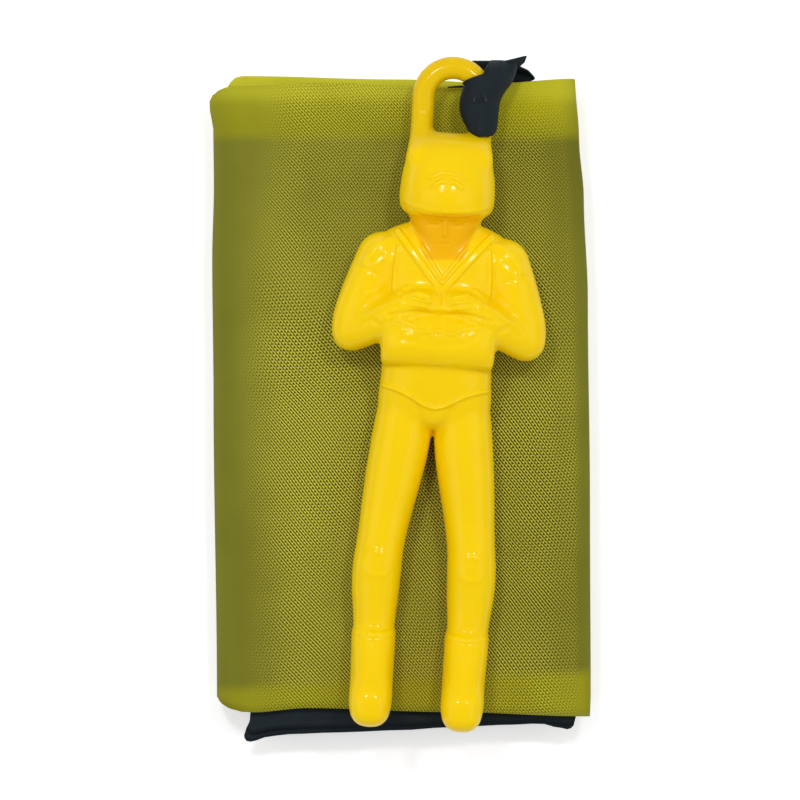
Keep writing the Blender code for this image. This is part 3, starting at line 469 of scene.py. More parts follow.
def apply_modifiers(obj):
    """Turns the piece's modifiers into its mesh."""
    bpy.context.view_layer.update()
    evaluated = obj.evaluated_get(bpy.context.evaluated_depsgraph_get())
    mesh = bpy.data.meshes.new_from_object(evaluated)
    obj.modifiers.clear()
    obj.data = mesh
    mesh.shade_smooth()


def wrinkle(x, y):
    """Soft hollows in the crown's upper ply, 0 to 1."""
    waves = math.sin(x * 190 + 1.3 * math.sin(y * 74)) * math.sin(y * 108 + 0.9)
    waves += 0.6 * math.sin(x * 330 - y * 150 + 0.6) * math.sin(y * 61 + 2.0)
    waves += 0.5 * math.sin(y * 420 + 2 * math.sin(x * 120))* math.sin(x * 90)
    return min(1.0, max(0.0, 0.42 + 0.30 * waves))


class CrownFold:
    """Where a point of the flat crown lies once it is folded in four rows, and then in six columns."""

    def __init__(self, look):
        self.look = look
        self.pitch = look.ply_pitch
        self.inner_pitch = look.inner_pitch
        self.path = self.half_path(1) + self.half_path(-1)[::-1][1:]
        self.rows = self.row_places()
        self.own = self.own_across()

    def half_path(self, side):
        """Places across the folded crown on one side of the split, from its inner end to the left fold."""
        places = [("inner", share, side) for share in even(10)]
        places += [("inner turn", share, side) for share in even(6)[1:]]
        places += [("outer", share, side) for share in even(10)[1:]]
        places += [("right turn", share, side) for share in even(12)[1:]]
        places += [("flap", share, side) for share in even(70 if side > 0 else 24)[1:]]
        angles = [84, 76, 68, 60, 52, 44, 36, 28, 20, 13, 7, 3.4, 1.75, 1.2, 0.6, 0]
        places += [("left fold", math.radians(angle), side) for angle in angles]
        return places

    def row_places(self):
        """Places along the crown: the ply, the share up it, and how far it bulges past its end."""
        steps = (64, 24, 24, 24)
        rows = []
        for ply, count in enumerate(steps):
            for share in even(count):
                rows.append((ply, share if ply % 2 == 0 else 1 - share, 0.0))
            if ply < CROWN_ROWS - 1:
                for turn in (0.2, 0.5, 0.8):
                    rows.append((ply + turn, 1.0 if ply % 2 == 0 else 0.0, math.sin(math.pi * turn)))
        return rows

    def section(self, place, ply, left, right):
        """A point of the fold's section, from its place, its ply and the pack's sides there."""
        kind, share, side = place
        depth = self.pitch * ply
        outer = PACK_HEIGHT / 2 - 0.05 * MM - depth
        low = 0.20 * MM + self.inner_pitch * ply
        high = 0.90 * MM - self.inner_pitch * ply
        end = left + 5.4 * MM
        room = self.look.right_rounding
        turn = right - room
        if kind == "inner":
            x, z = turn - 1.5 * MM + (end - turn + 1.5 * MM) * share, high
        elif kind == "inner turn":
            x = end - (high - low) / 2 * math.sin(math.pi * share)
            z = (high + low) / 2 + (high - low) / 2 * math.cos(math.pi * share)
        elif kind == "outer":
            x, z = end + (turn - end) * share, low
        elif kind == "right turn":
            angle = math.pi * (share - 0.5)
            x = turn + (room - depth) * math.cos(angle) ** 0.8 if share < 1 else turn
            z = (outer + low) / 2 + (outer - low) / 2 * math.sin(angle)
        elif kind == "flap":
            x, z = turn + (left + FOLD_ROUNDING - turn) * share, outer
        else:
            x = left + FOLD_ROUNDING - (FOLD_ROUNDING - depth) * math.cos(share)
            z = outer * math.sin(share)
        return x, z

    def own_across(self):
        """How far across the flat cloth each place is, with the front flap's own x as its start."""
        left, right = -0.4915 * PACK_WIDTH, 0.4915 * PACK_WIDTH
        points = []
        for place in self.path:
            x, z = self.section(place, 0, left, right)
            points.append(Vector((x, 0, SPLIT_LEVEL + z * place[2])))
        lengths = [0.0]
        for one, other in zip(points, points[1:]):
            lengths.append(lengths[-1] + (other - one).length)
        middle = min(
            (i for i, place in enumerate(self.path) if place[0] == "flap" and place[2] > 0),
            key=lambda i: abs(points[i].x),
        )
        return [points[middle].x - (length - lengths[middle]) for length in lengths]

    def point(self, column, row):
        place = self.path[column]
        kind, share, side = place
        ply, up, bulge = self.rows[row]
        left = PACK_WIDTH * share_at(LEFT_EDGE, up)
        right = PACK_WIDTH * share_at(RIGHT_EDGE, up)
        x, z = self.section(place, ply, left, right)
        across = min(1.0, max(0.0, (x - left) / (right - left)))
        front_high, front_low = share_at(TOP_EDGE, across), share_at(BOTTOM_EDGE, across)
        back_high, back_low = share_at(BACK_TOP_EDGE, across), share_at(BACK_BOTTOM_EDGE, across)
        high = PACK_LENGTH * (front_high if side > 0 else back_high)
        low = PACK_LENGTH * (front_low if side > 0 else back_low)
        inward = {"inner": 1.0, "inner turn": 1.0, "outer": 1.0, "right turn": max(0.0, 1 - 2 * share)}.get(kind, 0.0)
        inward = inward * inward * (3 - 2 * inward)
        high += (STACK_HALF_LENGTH - high) * inward
        low += (-STACK_HALF_LENGTH - low) * inward
        high -= self.look.ply_step * (0.0 if ply < 2 else 1.0)
        low += self.look.ply_step * 0.5 * min(ply, 2)
        y = low + (high - low) * up + self.pitch * 0.5 * bulge * (1 if up > 0.5 else -1)
        if kind in ("flap", "left fold"):
            fade = 1.0 if kind == "flap" else math.sin(share) ** 2
            fade *= min(1.0, max(0.0, (right - x) / (5 * MM)))
            fade *= min(1.0, 4 * up + 0.15) * min(1.0, 4 * (1 - up) + 0.15)
            z -= self.look.wrinkle_depth * wrinkle(x, y) * fade
        return Vector((x, y, SPLIT_LEVEL + z * side)), (self.own[column], y)


def folded_panel(number, low):
    """One black panel, folded to and fro in narrow plies, with its foot out below the pack."""
    steps = 26
    columns = PANEL_PLIES * (steps + 1)
    rows = 40
    drop = FOOT_DROPS[number]
    inset = (6.0 if number in (1, 2) else 7.3) * MM

    def place(column, row):
        ply, step = divmod(column, steps + 1)
        part = step / steps if ply % 2 == 0 else 1 - step / steps
        share = part - math.sin(TURN * part) * 0.85 / TURN
        up = (row / (rows - 1)) ** 1.5
        left = PACK_WIDTH * share_at(LEFT_EDGE, max(0.0, up - 0.04)) + inset
        right = PACK_WIDTH * share_at(RIGHT_EDGE, up) - 1.6 * MM
        foot_right = PACK_WIDTH * FOOT_RIGHT
        widen = min(1.0, max(0.0, (up - 0.015) / 0.06))
        widen = widen * widen * (3 - 2 * widen)
        reach = 0.488 * PACK_LENGTH
        down = -share_at(FOOT_EDGE, share) * PACK_LENGTH - reach
        foot = -reach - down * max(0.0, drop - PLY_DROPS[ply] * drop * (0.4 + 0.6 * share))
        top = PANEL_TOP - 0.1 * MM * ply
        y = foot + (top - foot) * up
        foot_left = PACK_WIDTH * share_at(FOOT_SIDE, min(-FOOT_SIDE[0][0], max(-FOOT_SIDE[-1][0], y / -PACK_LENGTH)) * -1)
        left = foot_left + (left - foot_left) * widen
        right = foot_right + (right - foot_right) * widen
        x = left + (right - left) * share
        level = low + (0.07 + 0.108 * ply) * MM
        if step in (0, steps) and 0 < ply + (1 if step else -1) < PANEL_PLIES:
            level += 0.03 * MM * (1 if step else -1)
        level += 0.03 * MM * math.sin(x * 300 + ply) * math.sin(y * 130 + number)
        return Vector((x, y, level)), (x + ply * PACK_WIDTH, y)

    return cloth_grid(columns, rows, place)


def catmull(points, steps):
    """Points on a smooth line through the given ones."""
    points = [Vector(p) for p in points]
    padded = [points[0] * 2 - points[1], *points, points[-1] * 2 - points[-2]]
    line = []
    for a, b, c, d in zip(padded, padded[1:], padded[2:], padded[3:]):
        for i in range(steps):
            t = i / steps
            line.append(
                0.5 * ((2 * b) + (c - a) * t + (2 * a - 5 * b + 4 * c - d) * t * t + (3 * b - a - 3 * c + d) * t ** 3)
            )
    line.append(points[-1])
    return line


def form(bm, rings):
    """A closed form through rings of points, added to a bmesh."""
    sides = len(rings[0])
    part = bmesh.new()
    bmesh.ops.create_grid(part, x_segments=sides, y_segments=len(rings) - 1, size=0.5)
    for vert in part.verts:
        side = round((vert.co.x + 0.5) * sides) % sides
        row = round((vert.co.y + 0.5) * (len(rings) - 1))
        vert.co = rings[row][side]
    bmesh.ops.remove_doubles(part, verts=part.verts, dist=0.0005 * MM)
    bmesh.ops.holes_fill(part, edges=part.edges, sides=0)
    bmesh.ops.recalc_face_normals(part, faces=part.faces)
    mesh = bpy.data.meshes.new("form")
    part.to_mesh(mesh)
    part.free()
    bm.from_mesh(mesh)
    bpy.data.meshes.remove(mesh)


def round_section(centre, right, front, roundness, sides=44):
    ring = []
    for i in range(sides):
        c, s = math.cos(TURN * i / sides), math.sin(TURN * i / sides)
        ring.append(
            centre + right * math.copysign(abs(c) ** roundness, c) + front * math.copysign(abs(s) ** roundness, s)
        )
    return ring


def lofted(bm, rows, roundness, side=1, tilt=0.0):
    """A form from its rows across the body, with more rows set smoothly between them."""
    flat = [(a, b, c) for a, b, c, _, _ in rows], [(d, e, 0) for *_, d, e in rows]
    lines = [catmull(points, 5) for points in flat]
    top = rows[0][0]
    rings = []
    for (down, out, half), (back, front, _) in zip(*lines):
        centre = Vector((side * out, -down, (back + front) / 2)) * MM
        lean = Vector((0, -tilt * (down - top), (front - back) / 2)) * MM
        rings.append(round_section(centre, Vector((half * MM, 0, 0)), lean, roundness))
    form(bm, rings)


def limb(bm, points, radii, roundness=0.94, steps=6):
    """A round limb with domed ends, through points in mm."""
    line = catmull([Vector(p) * MM for p in points], steps)
    sizes = [v.x * MM for v in catmull([(r, 0, 0) for r in radii], steps)]
    rings = []
    ways = [(line[min(i + 1, len(line) - 1)] - line[max(i - 1, 0)]).normalized() for i in range(len(line))]
    dome = [math.pi / 2 * k / 6 for k in range(1, 7)]
    stations = [(line[0] - ways[0] * sizes[0] * math.cos(a), sizes[0] * math.sin(a), ways[0]) for a in dome]
    stations += list(zip(line, sizes, ways))[1:-1]
    stations += [(line[-1] + ways[-1] * sizes[-1] * math.cos(a), sizes[-1] * math.sin(a), ways[-1]) for a in dome[::-1]]
    for centre, radius, way in stations:
        right = way.cross(Vector((0, 0, 1)))
        right = (right if right.length > 1e-3 else Vector((1, 0, 0))).normalized()
        front = right.cross(way).normalized()
        rings.append(round_section(centre, right * radius, front * radius, roundness, 32))
    form(bm, rings)


def ring_line():
    """The head ring's centre line in the jumper's frame."""
    line = [Vector((-RING_RADIUS, -RING_LEG * k / 8, RING_LEVEL)) for k in range(8, 0, -1)]
    for i in range(49):
        angle = math.pi * (1 - i / 48)
        line.append(Vector((RING_RADIUS * math.cos(angle), RING_RADIUS * math.sin(angle), RING_LEVEL)))
    line += [Vector((RING_RADIUS, -RING_LEG * k / 8, RING_LEVEL)) for k in range(1, 9)]
    return line


def jumper_forms():
    """The jumper's whole body as closed forms that overlap, in its own frame."""
    bm = bmesh.new()
    line = ring_line()
    rings = []
    for i, centre in enumerate(line):
        way = (line[min(i + 1, len(line) - 1)] - line[max(i - 1, 0)]).normalized()
        right = way.cross(Vector((0, 0, 1))).normalized()
        rings.append(round_section(centre, right * RING_TUBE, Vector((0, 0, RING_TUBE)), 0.95, 32))
    form(bm, rings)
    lofted(bm, HELMET_ROWS, 1.0, tilt=0.10)
    lofted(bm, FACE_ROWS, 0.80)
    lofted(bm, NECK_ROWS, 0.9)
    lofted(bm, TORSO_ROWS, 0.74)
    lofted(bm, RESERVE_ROWS, 0.5)
    limb(bm, ((-4.6, -32.2, 9.9), (0, -31.8, 10.3), (4.6, -32.2, 9.9)), (1.8, 1.95, 1.8))
    for side in (-1, 1):
        foot = -3.0 if side < 0 else -6.4
        limb(bm, ((side * 4.4, foot, 4.8), (side * 4.45, -7.2, 6.0), (side * 4.4, -9.4, 8.0)), (1.45, 1.8, 2.2))
        lofted(bm, LEG_ROWS, 0.91, side)
        lofted(bm, BOOT_ROWS, 0.8, side)
        form(bm, [
            round_section(
                Vector((side * 6.82, -down, level)) * MM, Vector((half * MM, 0, 0)), Vector((0, height * MM, 0)), 0.76
            )
            for (level, down, half), (height, _, _) in zip(
                catmull([row[:3] for row in FOOT_ROWS], 4), catmull([(row[3], 0, 0) for row in FOOT_ROWS], 4)
            )
        ])
        limb(
            bm,
            ((side * 9.1, -24.3, 6.0), (side * 10.9, -28.8, 6.1), (side * 12.5, -33.2, 6.0), (side * 12.9, -35.5, 6.0)),
            (3.75, 3.6, 3.3, 3.05),
        )
        limb(
            bm,
            ((side * 12.9, -35.6, 6.0), (side * 10.0, -34.6, 8.2), (side * 7.2, -32.8, 10.4), (side * 4.8, -31.4, 11.2)),
            (3.0, 2.7, 2.2, 1.85),
        )
        limb(
            bm,
            ((side * 10.6, -34.6, 6.4), (side * 7.2, -32.6, 9.0), (side * 4.6, -31.3, 9.9), (side * 1.4, -30.7, 9.9)),
            (2.7, 2.5, 2.4, 2.2),
        )
        limb(bm, ((side * 5.0, -31.3, 11.2), (side * 3.4, -30.8, 11.4), (side * 1.6, -30.6, 11.3)), (1.8, 1.85, 1.6))
    return bm


def line_height(points, half_width, edge, at):
    """How much of a line's height each point at (x, y) takes, 0 to 1."""
    least = np.full(len(at), 1e9)
    for one, other in zip(points, points[1:]):
        a, b = np.array(one[:2]), np.array(other[:2])
        along = np.clip(((at - a) @ (b - a)) / max((b - a) @ (b - a), 1e-12), 0, 1)
        least = np.minimum(least, np.linalg.norm(at - (a + along[:, None] * (b - a)), axis=1))
    part = np.clip((half_width - least) / (half_width * (1 - edge)), 0, 1)
    return part * part * (3 - 2 * part)


def press_lines(mesh):
    """Raises and sinks the moulding's lines on the front of the figure."""
    count = len(mesh.vertices)
    co = np.zeros(count * 3)
    mesh.vertices.foreach_get("co", co)
    co = co.reshape(-1, 3)
    normals = np.zeros(count * 3, np.float32)
    mesh.vertex_normals.foreach_get("vector", normals)
    normals = normals.reshape(-1, 3)
    facing = np.clip((normals[:, 2] - LINE_FRONT) / 0.3, 0, 1)
    at = co[:, :2] / MM
    height = np.zeros(count)
    for side in (-1, 1):
        for _, points, half_width, rise, edge in PAIRED_LINES:
            line = catmull([(side * x, -y, 0) for x, y in points], 6)
            height += rise * line_height(line, half_width, edge, at)
    for _, points, half_width, rise, edge in MIDDLE_LINES:
        line = catmull([(x, -y, 0) for x, y in points], 6)
        height += rise * line_height(line, half_width, edge, at)
    height = np.clip(height, -0.4, 0.46)
    co += normals * (height * facing * MM)[:, None]
    mesh.vertices.foreach_set("co", co.ravel())
    mesh.update()


def finer_front(mesh):
    """Divides the faces where the moulding has its lines."""
    bm = bmesh.new()
    bm.from_mesh(mesh)
    fine = []
    for face in bm.faces:
        x, y, z = face.calc_center_median() / MM
        head = -24.5 < y < -10.5 and abs(x) < 7.2 and z > 8
        chest = -47 < y <= -20.3 and abs(x) < 9 and z > 7
        if (head or chest) and face.normal.z > -0.5:
            fine.append(face)
    edges = list({edge for face in fine for edge in face.edges})
    bmesh.ops.subdivide_edges(bm, edges=edges, cuts=1, use_grid_fill=True)
    bmesh.ops.smooth_vert(bm, verts=bm.verts, factor=0.5, use_axis_x=True, use_axis_y=True, use_axis_z=True)
    bm.to_mesh(mesh)
    bm.free()


def smooth_mesh(mesh, passes, factor=0.5, boxes=((-1e3, 1e3, -1e3, 1e3, -1e3),)):
    """Smooths the vertices inside any of the boxes, in mm: left, right, foot, head and back."""
    bm = bmesh.new()
    bm.from_mesh(mesh)
    inside = []
    for vert in bm.verts:
        x, y, z = vert.co / MM
        if any(left < x < right and low < y < high and z > back for left, right, low, high, back in boxes):
            inside.append(vert)
    for _ in range(passes):
        bmesh.ops.smooth_vert(bm, verts=inside, factor=factor, use_axis_x=True, use_axis_y=True, use_axis_z=True)
    bm.to_mesh(mesh)
    bm.free()


def clear_of_ring(point, clearance):
    """Moves a point of the riser's cloth off the head ring."""
    local = JUMPER.inverted() @ point
    least, nearest = 1.0, None
    for a, b in zip(RING_LINE, RING_LINE[1:]):
        t = min(1.0, max(0.0, (local - a).dot(b - a) / (b - a).length_squared))
        on = a.lerp(b, t)
        if (local - on).length < least:
            least, nearest = (local - on).length, on
    if least < RING_TUBE + clearance:
        local = nearest + (local - nearest).normalized() * (RING_TUBE + clearance)
    return JUMPER @ local


RING_LINE = ring_line()

# The riser's sleeve, in mm: its left and right ends, its front and its back, from the foot to the rim
SLEEVE_ROWS = (
    (11.7, 39.1, 13.0, 39.1, 16.95, 15.9),
    (10.8, 39.5, 13.9, 39.5, 17.05, 15.0),
    (10.1, 40.3, 14.3, 40.3, 17.0, 13.6),
    (9.5, 41.4, 14.45, 41.5, 16.9, 12.2),
    (9.0, 42.8, 14.6, 43.0, 16.9, 12.0),
    (8.95, 44.3, 14.9, 44.6, 16.9, 12.0),
    (9.2, 45.6, 15.6, 45.9, 16.9, 12.0),
    (9.5, 46.5, 16.6, 47.1, 16.8, 12.05),
    (9.6, 47.1, 17.2, 48.6, 16.7, 12.1),
    (9.55, 47.5, 17.4, 50.1, 16.6, 12.15),
)


# The web's pointed corner, in mm: a share along the web, then how far it stands out and up there
WEB_CORNER_OUT = ((0.20, 0.0), (0.36, 1.9), (0.58, 1.4), (0.74, 0.0))
WEB_CORNER_UP = ((0.22, 0.0), (0.36, 0.75), (0.52, 0.0))


def riser_sleeve(sides=72):
    """The cloth that wraps the ring's right leg, open at both ends."""
    lines = [catmull([(r[0], r[1], r[4]) for r in SLEEVE_ROWS], 4), catmull([(r[2], r[3], r[5]) for r in SLEEVE_ROWS], 4)]
    rows = list(zip(*lines))

    def place(column, row):
        left, right = rows[row]
        share = row / (len(rows) - 1)
        angle = TURN * column / sides
        c, s = math.cos(angle), math.sin(angle)
        middle = 12.15 - 0.45 * (1 - share)
        if share > 0.62:
            middle = 12.15 + 0.6 * (share - 0.62)
        reach = (right.x - middle) * max(c, 0) + (middle - left.x) * min(c, 0)
        part = (middle + reach - left.x) / (right.x - left.x)
        y = left.y + (right.y - left.y) * part
        x = middle + reach
        core = 14.3 + 2.2 * max(0.0, 1 - share / 0.28) - 2.1 * max(c, 0) ** 1.4 * min(1.0, max(0.0, (share - 0.45) / 0.35))
        front, back = left.z, right.z
        z = core + (front - core) * max(s, 0) ** 0.85 - (core - back) * max(-s, 0) ** 0.85
        pleat = 0.14 * math.sin(5 * angle + 3 * share) * math.sin(math.pi * min(1.0, share * 1.4 + 0.1))
        z += pleat * max(s, 0.2)
        if s < 0:
            y += 0.9 * (-s) * max(0.0, 0.35 - share) / 0.35
        lift = eased((share - 0.62) / 0.38) * eased((x - 12.4) / 1.0)
        y += (50.45 - y) * lift * (1 - 0.85 * eased((part - 0.70) / 0.30))
        z += (13.0 - z) * lift * lift * max(s, 0)
        return clear_of_ring(Vector((x, y, z)) * MM, 0.2 * MM), (x * MM, y * MM)

    return cloth_grid(sides + 1, len(rows), place, closed=True)


def riser_web():
    """The riser's top: up the wall, over the fold, and behind the ring to the sleeve's back."""
    path = catmull(
        (
            (0, 49.85, 10.2), (0, 50.15, 11.1), (0, 50.33, 11.75), (0, 50.4, 12.15), (0, 50.25, 12.42), (0, 49.9, 12.38),
            (0, 49.0, 12.1), (0, 47.5, 11.95), (0, 46.0, 11.9), (0, 44.6, 11.9),
        ),
        5,
    )
    columns, rows = 30, len(path)

    def place(column, row):
        share = column / (columns - 1)
        along = row / (rows - 1)
        _, y, z = path[row]
        left = 10.75 - 0.9 * max(0.0, along - 0.45)
        right = 16.95 - 2.2 * max(0.0, along - 0.5) * 2
        x = left + (right - left) * share
        z += 0.10 * math.sin(9 * share + 4 * along) * (0.3 + 0.7 * math.sin(math.pi * share))
        corner = eased((share - 0.76) / 0.24)
        x += share_at(WEB_CORNER_OUT, along) * corner
        y += share_at(WEB_CORNER_UP, along) * corner
        point = Vector((x, y, z)) * MM
        return (clear_of_ring(point, 0.2 * MM) if along > 0.45 else point), (x * MM, along * 12 * MM)

    return cloth_grid(columns, rows, place)


def riser_root():
    """The riser's lower part: sewn to the panels, out of the pack's top edge and up its wall."""
    path = catmull(
        (
            (0, 39.2, 7.05), (0, 41.5, 7.05), (0, 44.0, 7.05), (0, 46.0, 7.05), (0, 46.6, 7.05), (0, 47.0, 7.05),
            (0, 47.6, 7.05), (0, 48.6, 7.15), (0, 49.1, 7.8), (0, 49.35, 8.8), (0, 49.7, 9.8), (0, 49.95, 10.4),
        ),
        5,
    )
    columns, rows = 40, len(path)

    def place(column, row):
        share = column / (columns - 1)
        along = row / (rows - 1)
        _, y, z = path[row]
        out = math.exp(-((along - 0.67) / 0.10) ** 2)
        left = 7.1 + 2.7 * eased((y - 46.74) / 0.12) + 1.0 * eased((y - 46.9) / 2.6)
        right = 19.6 - 0.9 * along + 1.1 * out - 2.0 * max(0.0, along - 0.80) / 0.20
        x = left + (right - left) * share
        lobe = max(0.0, share - 0.72) / 0.28
        y -= 0.9 * lobe * lobe * out
        z += 0.16 * math.sin(21 * share + 3 * along) * min(1.0, 0.35 + 1.4 * abs(along - 0.58))
        return Vector((x, y, z)) * MM, (x * MM, along * 16 * MM)

    return cloth_grid(columns, rows, place)


class ParachuteLook(bpy.types.PropertyGroup):
    """Sizes and colours of the cloth, the plastic and the stage."""

    ply_pitch: bpy.props.FloatProperty(
        name="Ply pitch", description="From one ply of the outer crown to the next", default=0.27 * MM, unit="LENGTH"
    )
    inner_pitch: bpy.props.FloatProperty(
        name="Inner pitch", description="From one ply of the inner folds to the next", default=0.10 * MM, unit="LENGTH"
    )
    ply_step: bpy.props.FloatProperty(
        name="Ply step", description="How far each ply ends short of the one above", default=0.32 * MM, unit="LENGTH"
    )
    crown_thickness: bpy.props.FloatProperty(
        name="Crown cloth", description="Thickness of the green cloth", default=0.07 * MM, unit="LENGTH"
    )
    panel_thickness: bpy.props.FloatProperty(
        name="Panel cloth", description="Thickness of the black cloth", default=0.06 * MM, unit="LENGTH"
    )
    riser_thickness: bpy.props.FloatProperty(
        name="Riser cloth", description="Thickness of the riser's gathered cloth", default=0.22 * MM, unit="LENGTH"
    )
    right_rounding: bpy.props.FloatProperty(
        name="Right rounding", description="Rounding of the folds at the right", default=1.3 * MM, unit="LENGTH"
    )
    wrinkle_depth: bpy.props.FloatProperty(
        name="Wrinkles", description="Depth of the hollows in the upper ply", default=0.22 * MM, unit="LENGTH"
    )
    weave_period: bpy.props.FloatProperty(
        name="Crown weave", description="From one bright dash to the next", default=0.384 * MM, unit="LENGTH"
    )
    black_weave_period: bpy.props.FloatProperty(
        name="Black weave", description="From one thread of the black cloth to the next", default=0.33 * MM, unit="LENGTH"
    )
    thread_over_black: bpy.props.FloatVectorProperty(
        name="Thread over black", description="Bright dashes over a panel", default=linear(212, 207, 74), subtype="COLOR"
    )
    gap_over_black: bpy.props.FloatVectorProperty(
        name="Gap over black", description="Between the dashes over a panel", default=linear(52, 49, 0), subtype="COLOR"
    )
    thread_bare: bpy.props.FloatVectorProperty(
        name="Thread", description="Bright dashes where no panel lies below", default=linear(204, 199, 56), subtype="COLOR"
    )
    gap_bare: bpy.props.FloatVectorProperty(
        name="Gap", description="Between the dashes where no panel lies below", default=linear(98, 93, 0), subtype="COLOR"
    )
    # Painted light: the dashes' colour where the crown's upper right is painted lighter
    thread_at_light: bpy.props.FloatVectorProperty(
        name="Thread in light", description="Bright dashes at the upper right", default=linear(192, 185, 24), subtype="COLOR"
    )
    fold_over_black: bpy.props.FloatVectorProperty(
        name="Left fold", description="Smooth cloth of the left fold", default=linear(123, 123, 38), subtype="COLOR"
    )
    fold_bare: bpy.props.FloatVectorProperty(
        name="Fold ends", description="Smooth cloth past the panels", default=linear(156, 153, 32), subtype="COLOR"
    )
    back_edge: bpy.props.FloatVectorProperty(
        name="Back plies", description="The back plies' bright upper edge", default=linear(211, 207, 54), subtype="COLOR"
    )
    hem: bpy.props.FloatVectorProperty(
        name="Hem", description="The crown's thin pale lower rim", default=linear(160, 160, 62), subtype="COLOR"
    )
    black: bpy.props.FloatVectorProperty(
        name="Black cloth", description="Panels, riser and thread", default=linear(18, 28, 33), subtype="COLOR"
    )
    black_sheen: bpy.props.FloatVectorProperty(
        name="Black cloth in light", description="Paler threads of the black cloth", default=linear(34, 45, 51), subtype="COLOR"
    )
    yellow: bpy.props.FloatVectorProperty(
        name="Plastic", description="The jumper's plastic", default=linear(255, 214, 0), subtype="COLOR"
    )
    yellow_deep: bpy.props.FloatVectorProperty(
        name="Plastic, deeper", description="Flow marks in the plastic", default=linear(254, 208, 0), subtype="COLOR"
    )
    # Painted shade: the head ring's darker yellow
    yellow_shaded: bpy.props.FloatVectorProperty(
        name="Plastic, ring", description="The darker head ring", default=linear(228, 192, 0), subtype="COLOR"
    )
    # Painted shade: the orange of the face and of the figure's sides just above the pack
    orange_painted_shade: bpy.props.FloatVectorProperty(
        name="Plastic, low", description="Where the plastic curves under", default=linear(240, 158, 0), subtype="COLOR"
    )
    yellow_pale: bpy.props.FloatVectorProperty(
        name="Plastic, scuffed", description="Small scuffs", default=linear(255, 226, 70), subtype="COLOR"
    )
    world_strength: bpy.props.FloatProperty(name="World", description="Light from all round", default=0.51, min=0)
    key_power: bpy.props.FloatProperty(name="Key light", description="The soft lamps above the head ring", default=1.18, unit="POWER")
    fill_power: bpy.props.FloatProperty(name="Fill light", description="The soft lamps at the sides", default=0.60, unit="POWER")
    frame_width: bpy.props.FloatProperty(
        name="View width", description="Width seen at the pack's top", default=119.2 * MM, unit="LENGTH"
    )


class ParachutePaints:
    """The materials, made once for all the operators."""

    made = {}

    @classmethod
    def of(cls, kind, look):
        if kind not in cls.made:
            cls.made[kind] = kind(look)
        return cls.made[kind]


class PARACHUTE_OT_crown(bpy.types.Operator):
    """Folds the green crown out of one sheet"""

    bl_idname = "parachute.crown"
    bl_label = "Folded crown"

    def execute(self, context):
        look = context.scene.parachute_look
        fold = CrownFold(look)
        bm = cloth_grid(len(fold.path), len(fold.rows), fold.point)
        obj = piece("canopy_crown", bm, ParachutePaints.of(crown_cloth, look))
        thickened(obj, look.crown_thickness)
        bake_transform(obj)
        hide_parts("canopy_front_flap", "canopy_front_folds", "canopy_back_folds", "canopy_back_flap")
        return {"FINISHED"}


class PARACHUTE_OT_panels(bpy.types.Operator):
    """Folds the four black panels"""

    bl_idname = "parachute.panels"
    bl_label = "Black panels"

    def execute(self, context):
        look = context.scene.parachute_look
        for number, low in enumerate((7.2, 6.0, 2.6, 1.4)):
            obj = piece(
                f"panel_{number + 1}", folded_panel(number, low * MM), ParachutePaints.of(panel_cloth, look)
            )
            thickened(obj, look.panel_thickness)
            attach(obj, "canopy_front" if number < 2 else "canopy_back")
            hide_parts(f"riser_panel_{number + 1}")
        return {"FINISHED"}


class PARACHUTE_OT_riser(bpy.types.Operator):
    """Makes the riser's root in the pack, and its sleeve round the head ring"""

    bl_idname = "parachute.riser"
    bl_label = "Riser"

    def execute(self, context):
        look = context.scene.parachute_look
        paint = ParachutePaints.of(panel_cloth, look)
        root = piece("riser_root", riser_root(), paint)
        thickened(root, look.riser_thickness)
        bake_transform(root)
        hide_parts("riser_tail", "riser_strap")

        bm = riser_sleeve()
        web = riser_web()
        mesh = bpy.data.meshes.new("web")
        web.to_mesh(mesh)
        web.free()
        bm.from_mesh(mesh)
        bpy.data.meshes.remove(mesh)
        wrap = piece("riser_wrap", bm, paint)
        thickened(wrap, look.riser_thickness)
        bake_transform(wrap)
        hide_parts("riser_loop")
        return {"FINISHED"}


class PARACHUTE_OT_threads(bpy.types.Operator):
    """Gives the two bar tacks their thread"""

    bl_idname = "parachute.threads"
    bl_label = "Bar tacks"

    def execute(self, context):
        paint = ParachutePaints.of(thread_twist, context.scene.parachute_look)
        for name in ("tail_bar_tack", "loop_bar_tack"):
            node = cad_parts[name]
            node.data.materials.clear()
            node.data.materials.append(paint)
        return {"FINISHED"}


class PARACHUTE_OT_jumper(bpy.types.Operator):
    """Moulds the yellow jumper with its head ring"""

    bl_idname = "parachute.jumper"
    bl_label = "Jumper"

    def execute(self, context):
        look = context.scene.parachute_look
        obj = piece("jumper", jumper_forms(), ParachutePaints.of(moulded_plastic, look))
        remesh = obj.modifiers.new("one skin", "REMESH")
        remesh.mode = "VOXEL"
        remesh.voxel_size = MOULD_VOXEL
        apply_modifiers(obj)
        smooth_mesh(obj.data, 7)
        smooth_mesh(obj.data, 14, boxes=SOFT_BOXES)
        finer_front(obj.data)
        press_lines(obj.data)
        smooth_mesh(obj.data, 1, 0.3)
        obj.data.transform(JUMPER)
        obj.data.shade_smooth()
        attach(obj, "jumper")
        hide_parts("jumper_figure")
        return {"FINISHED"}


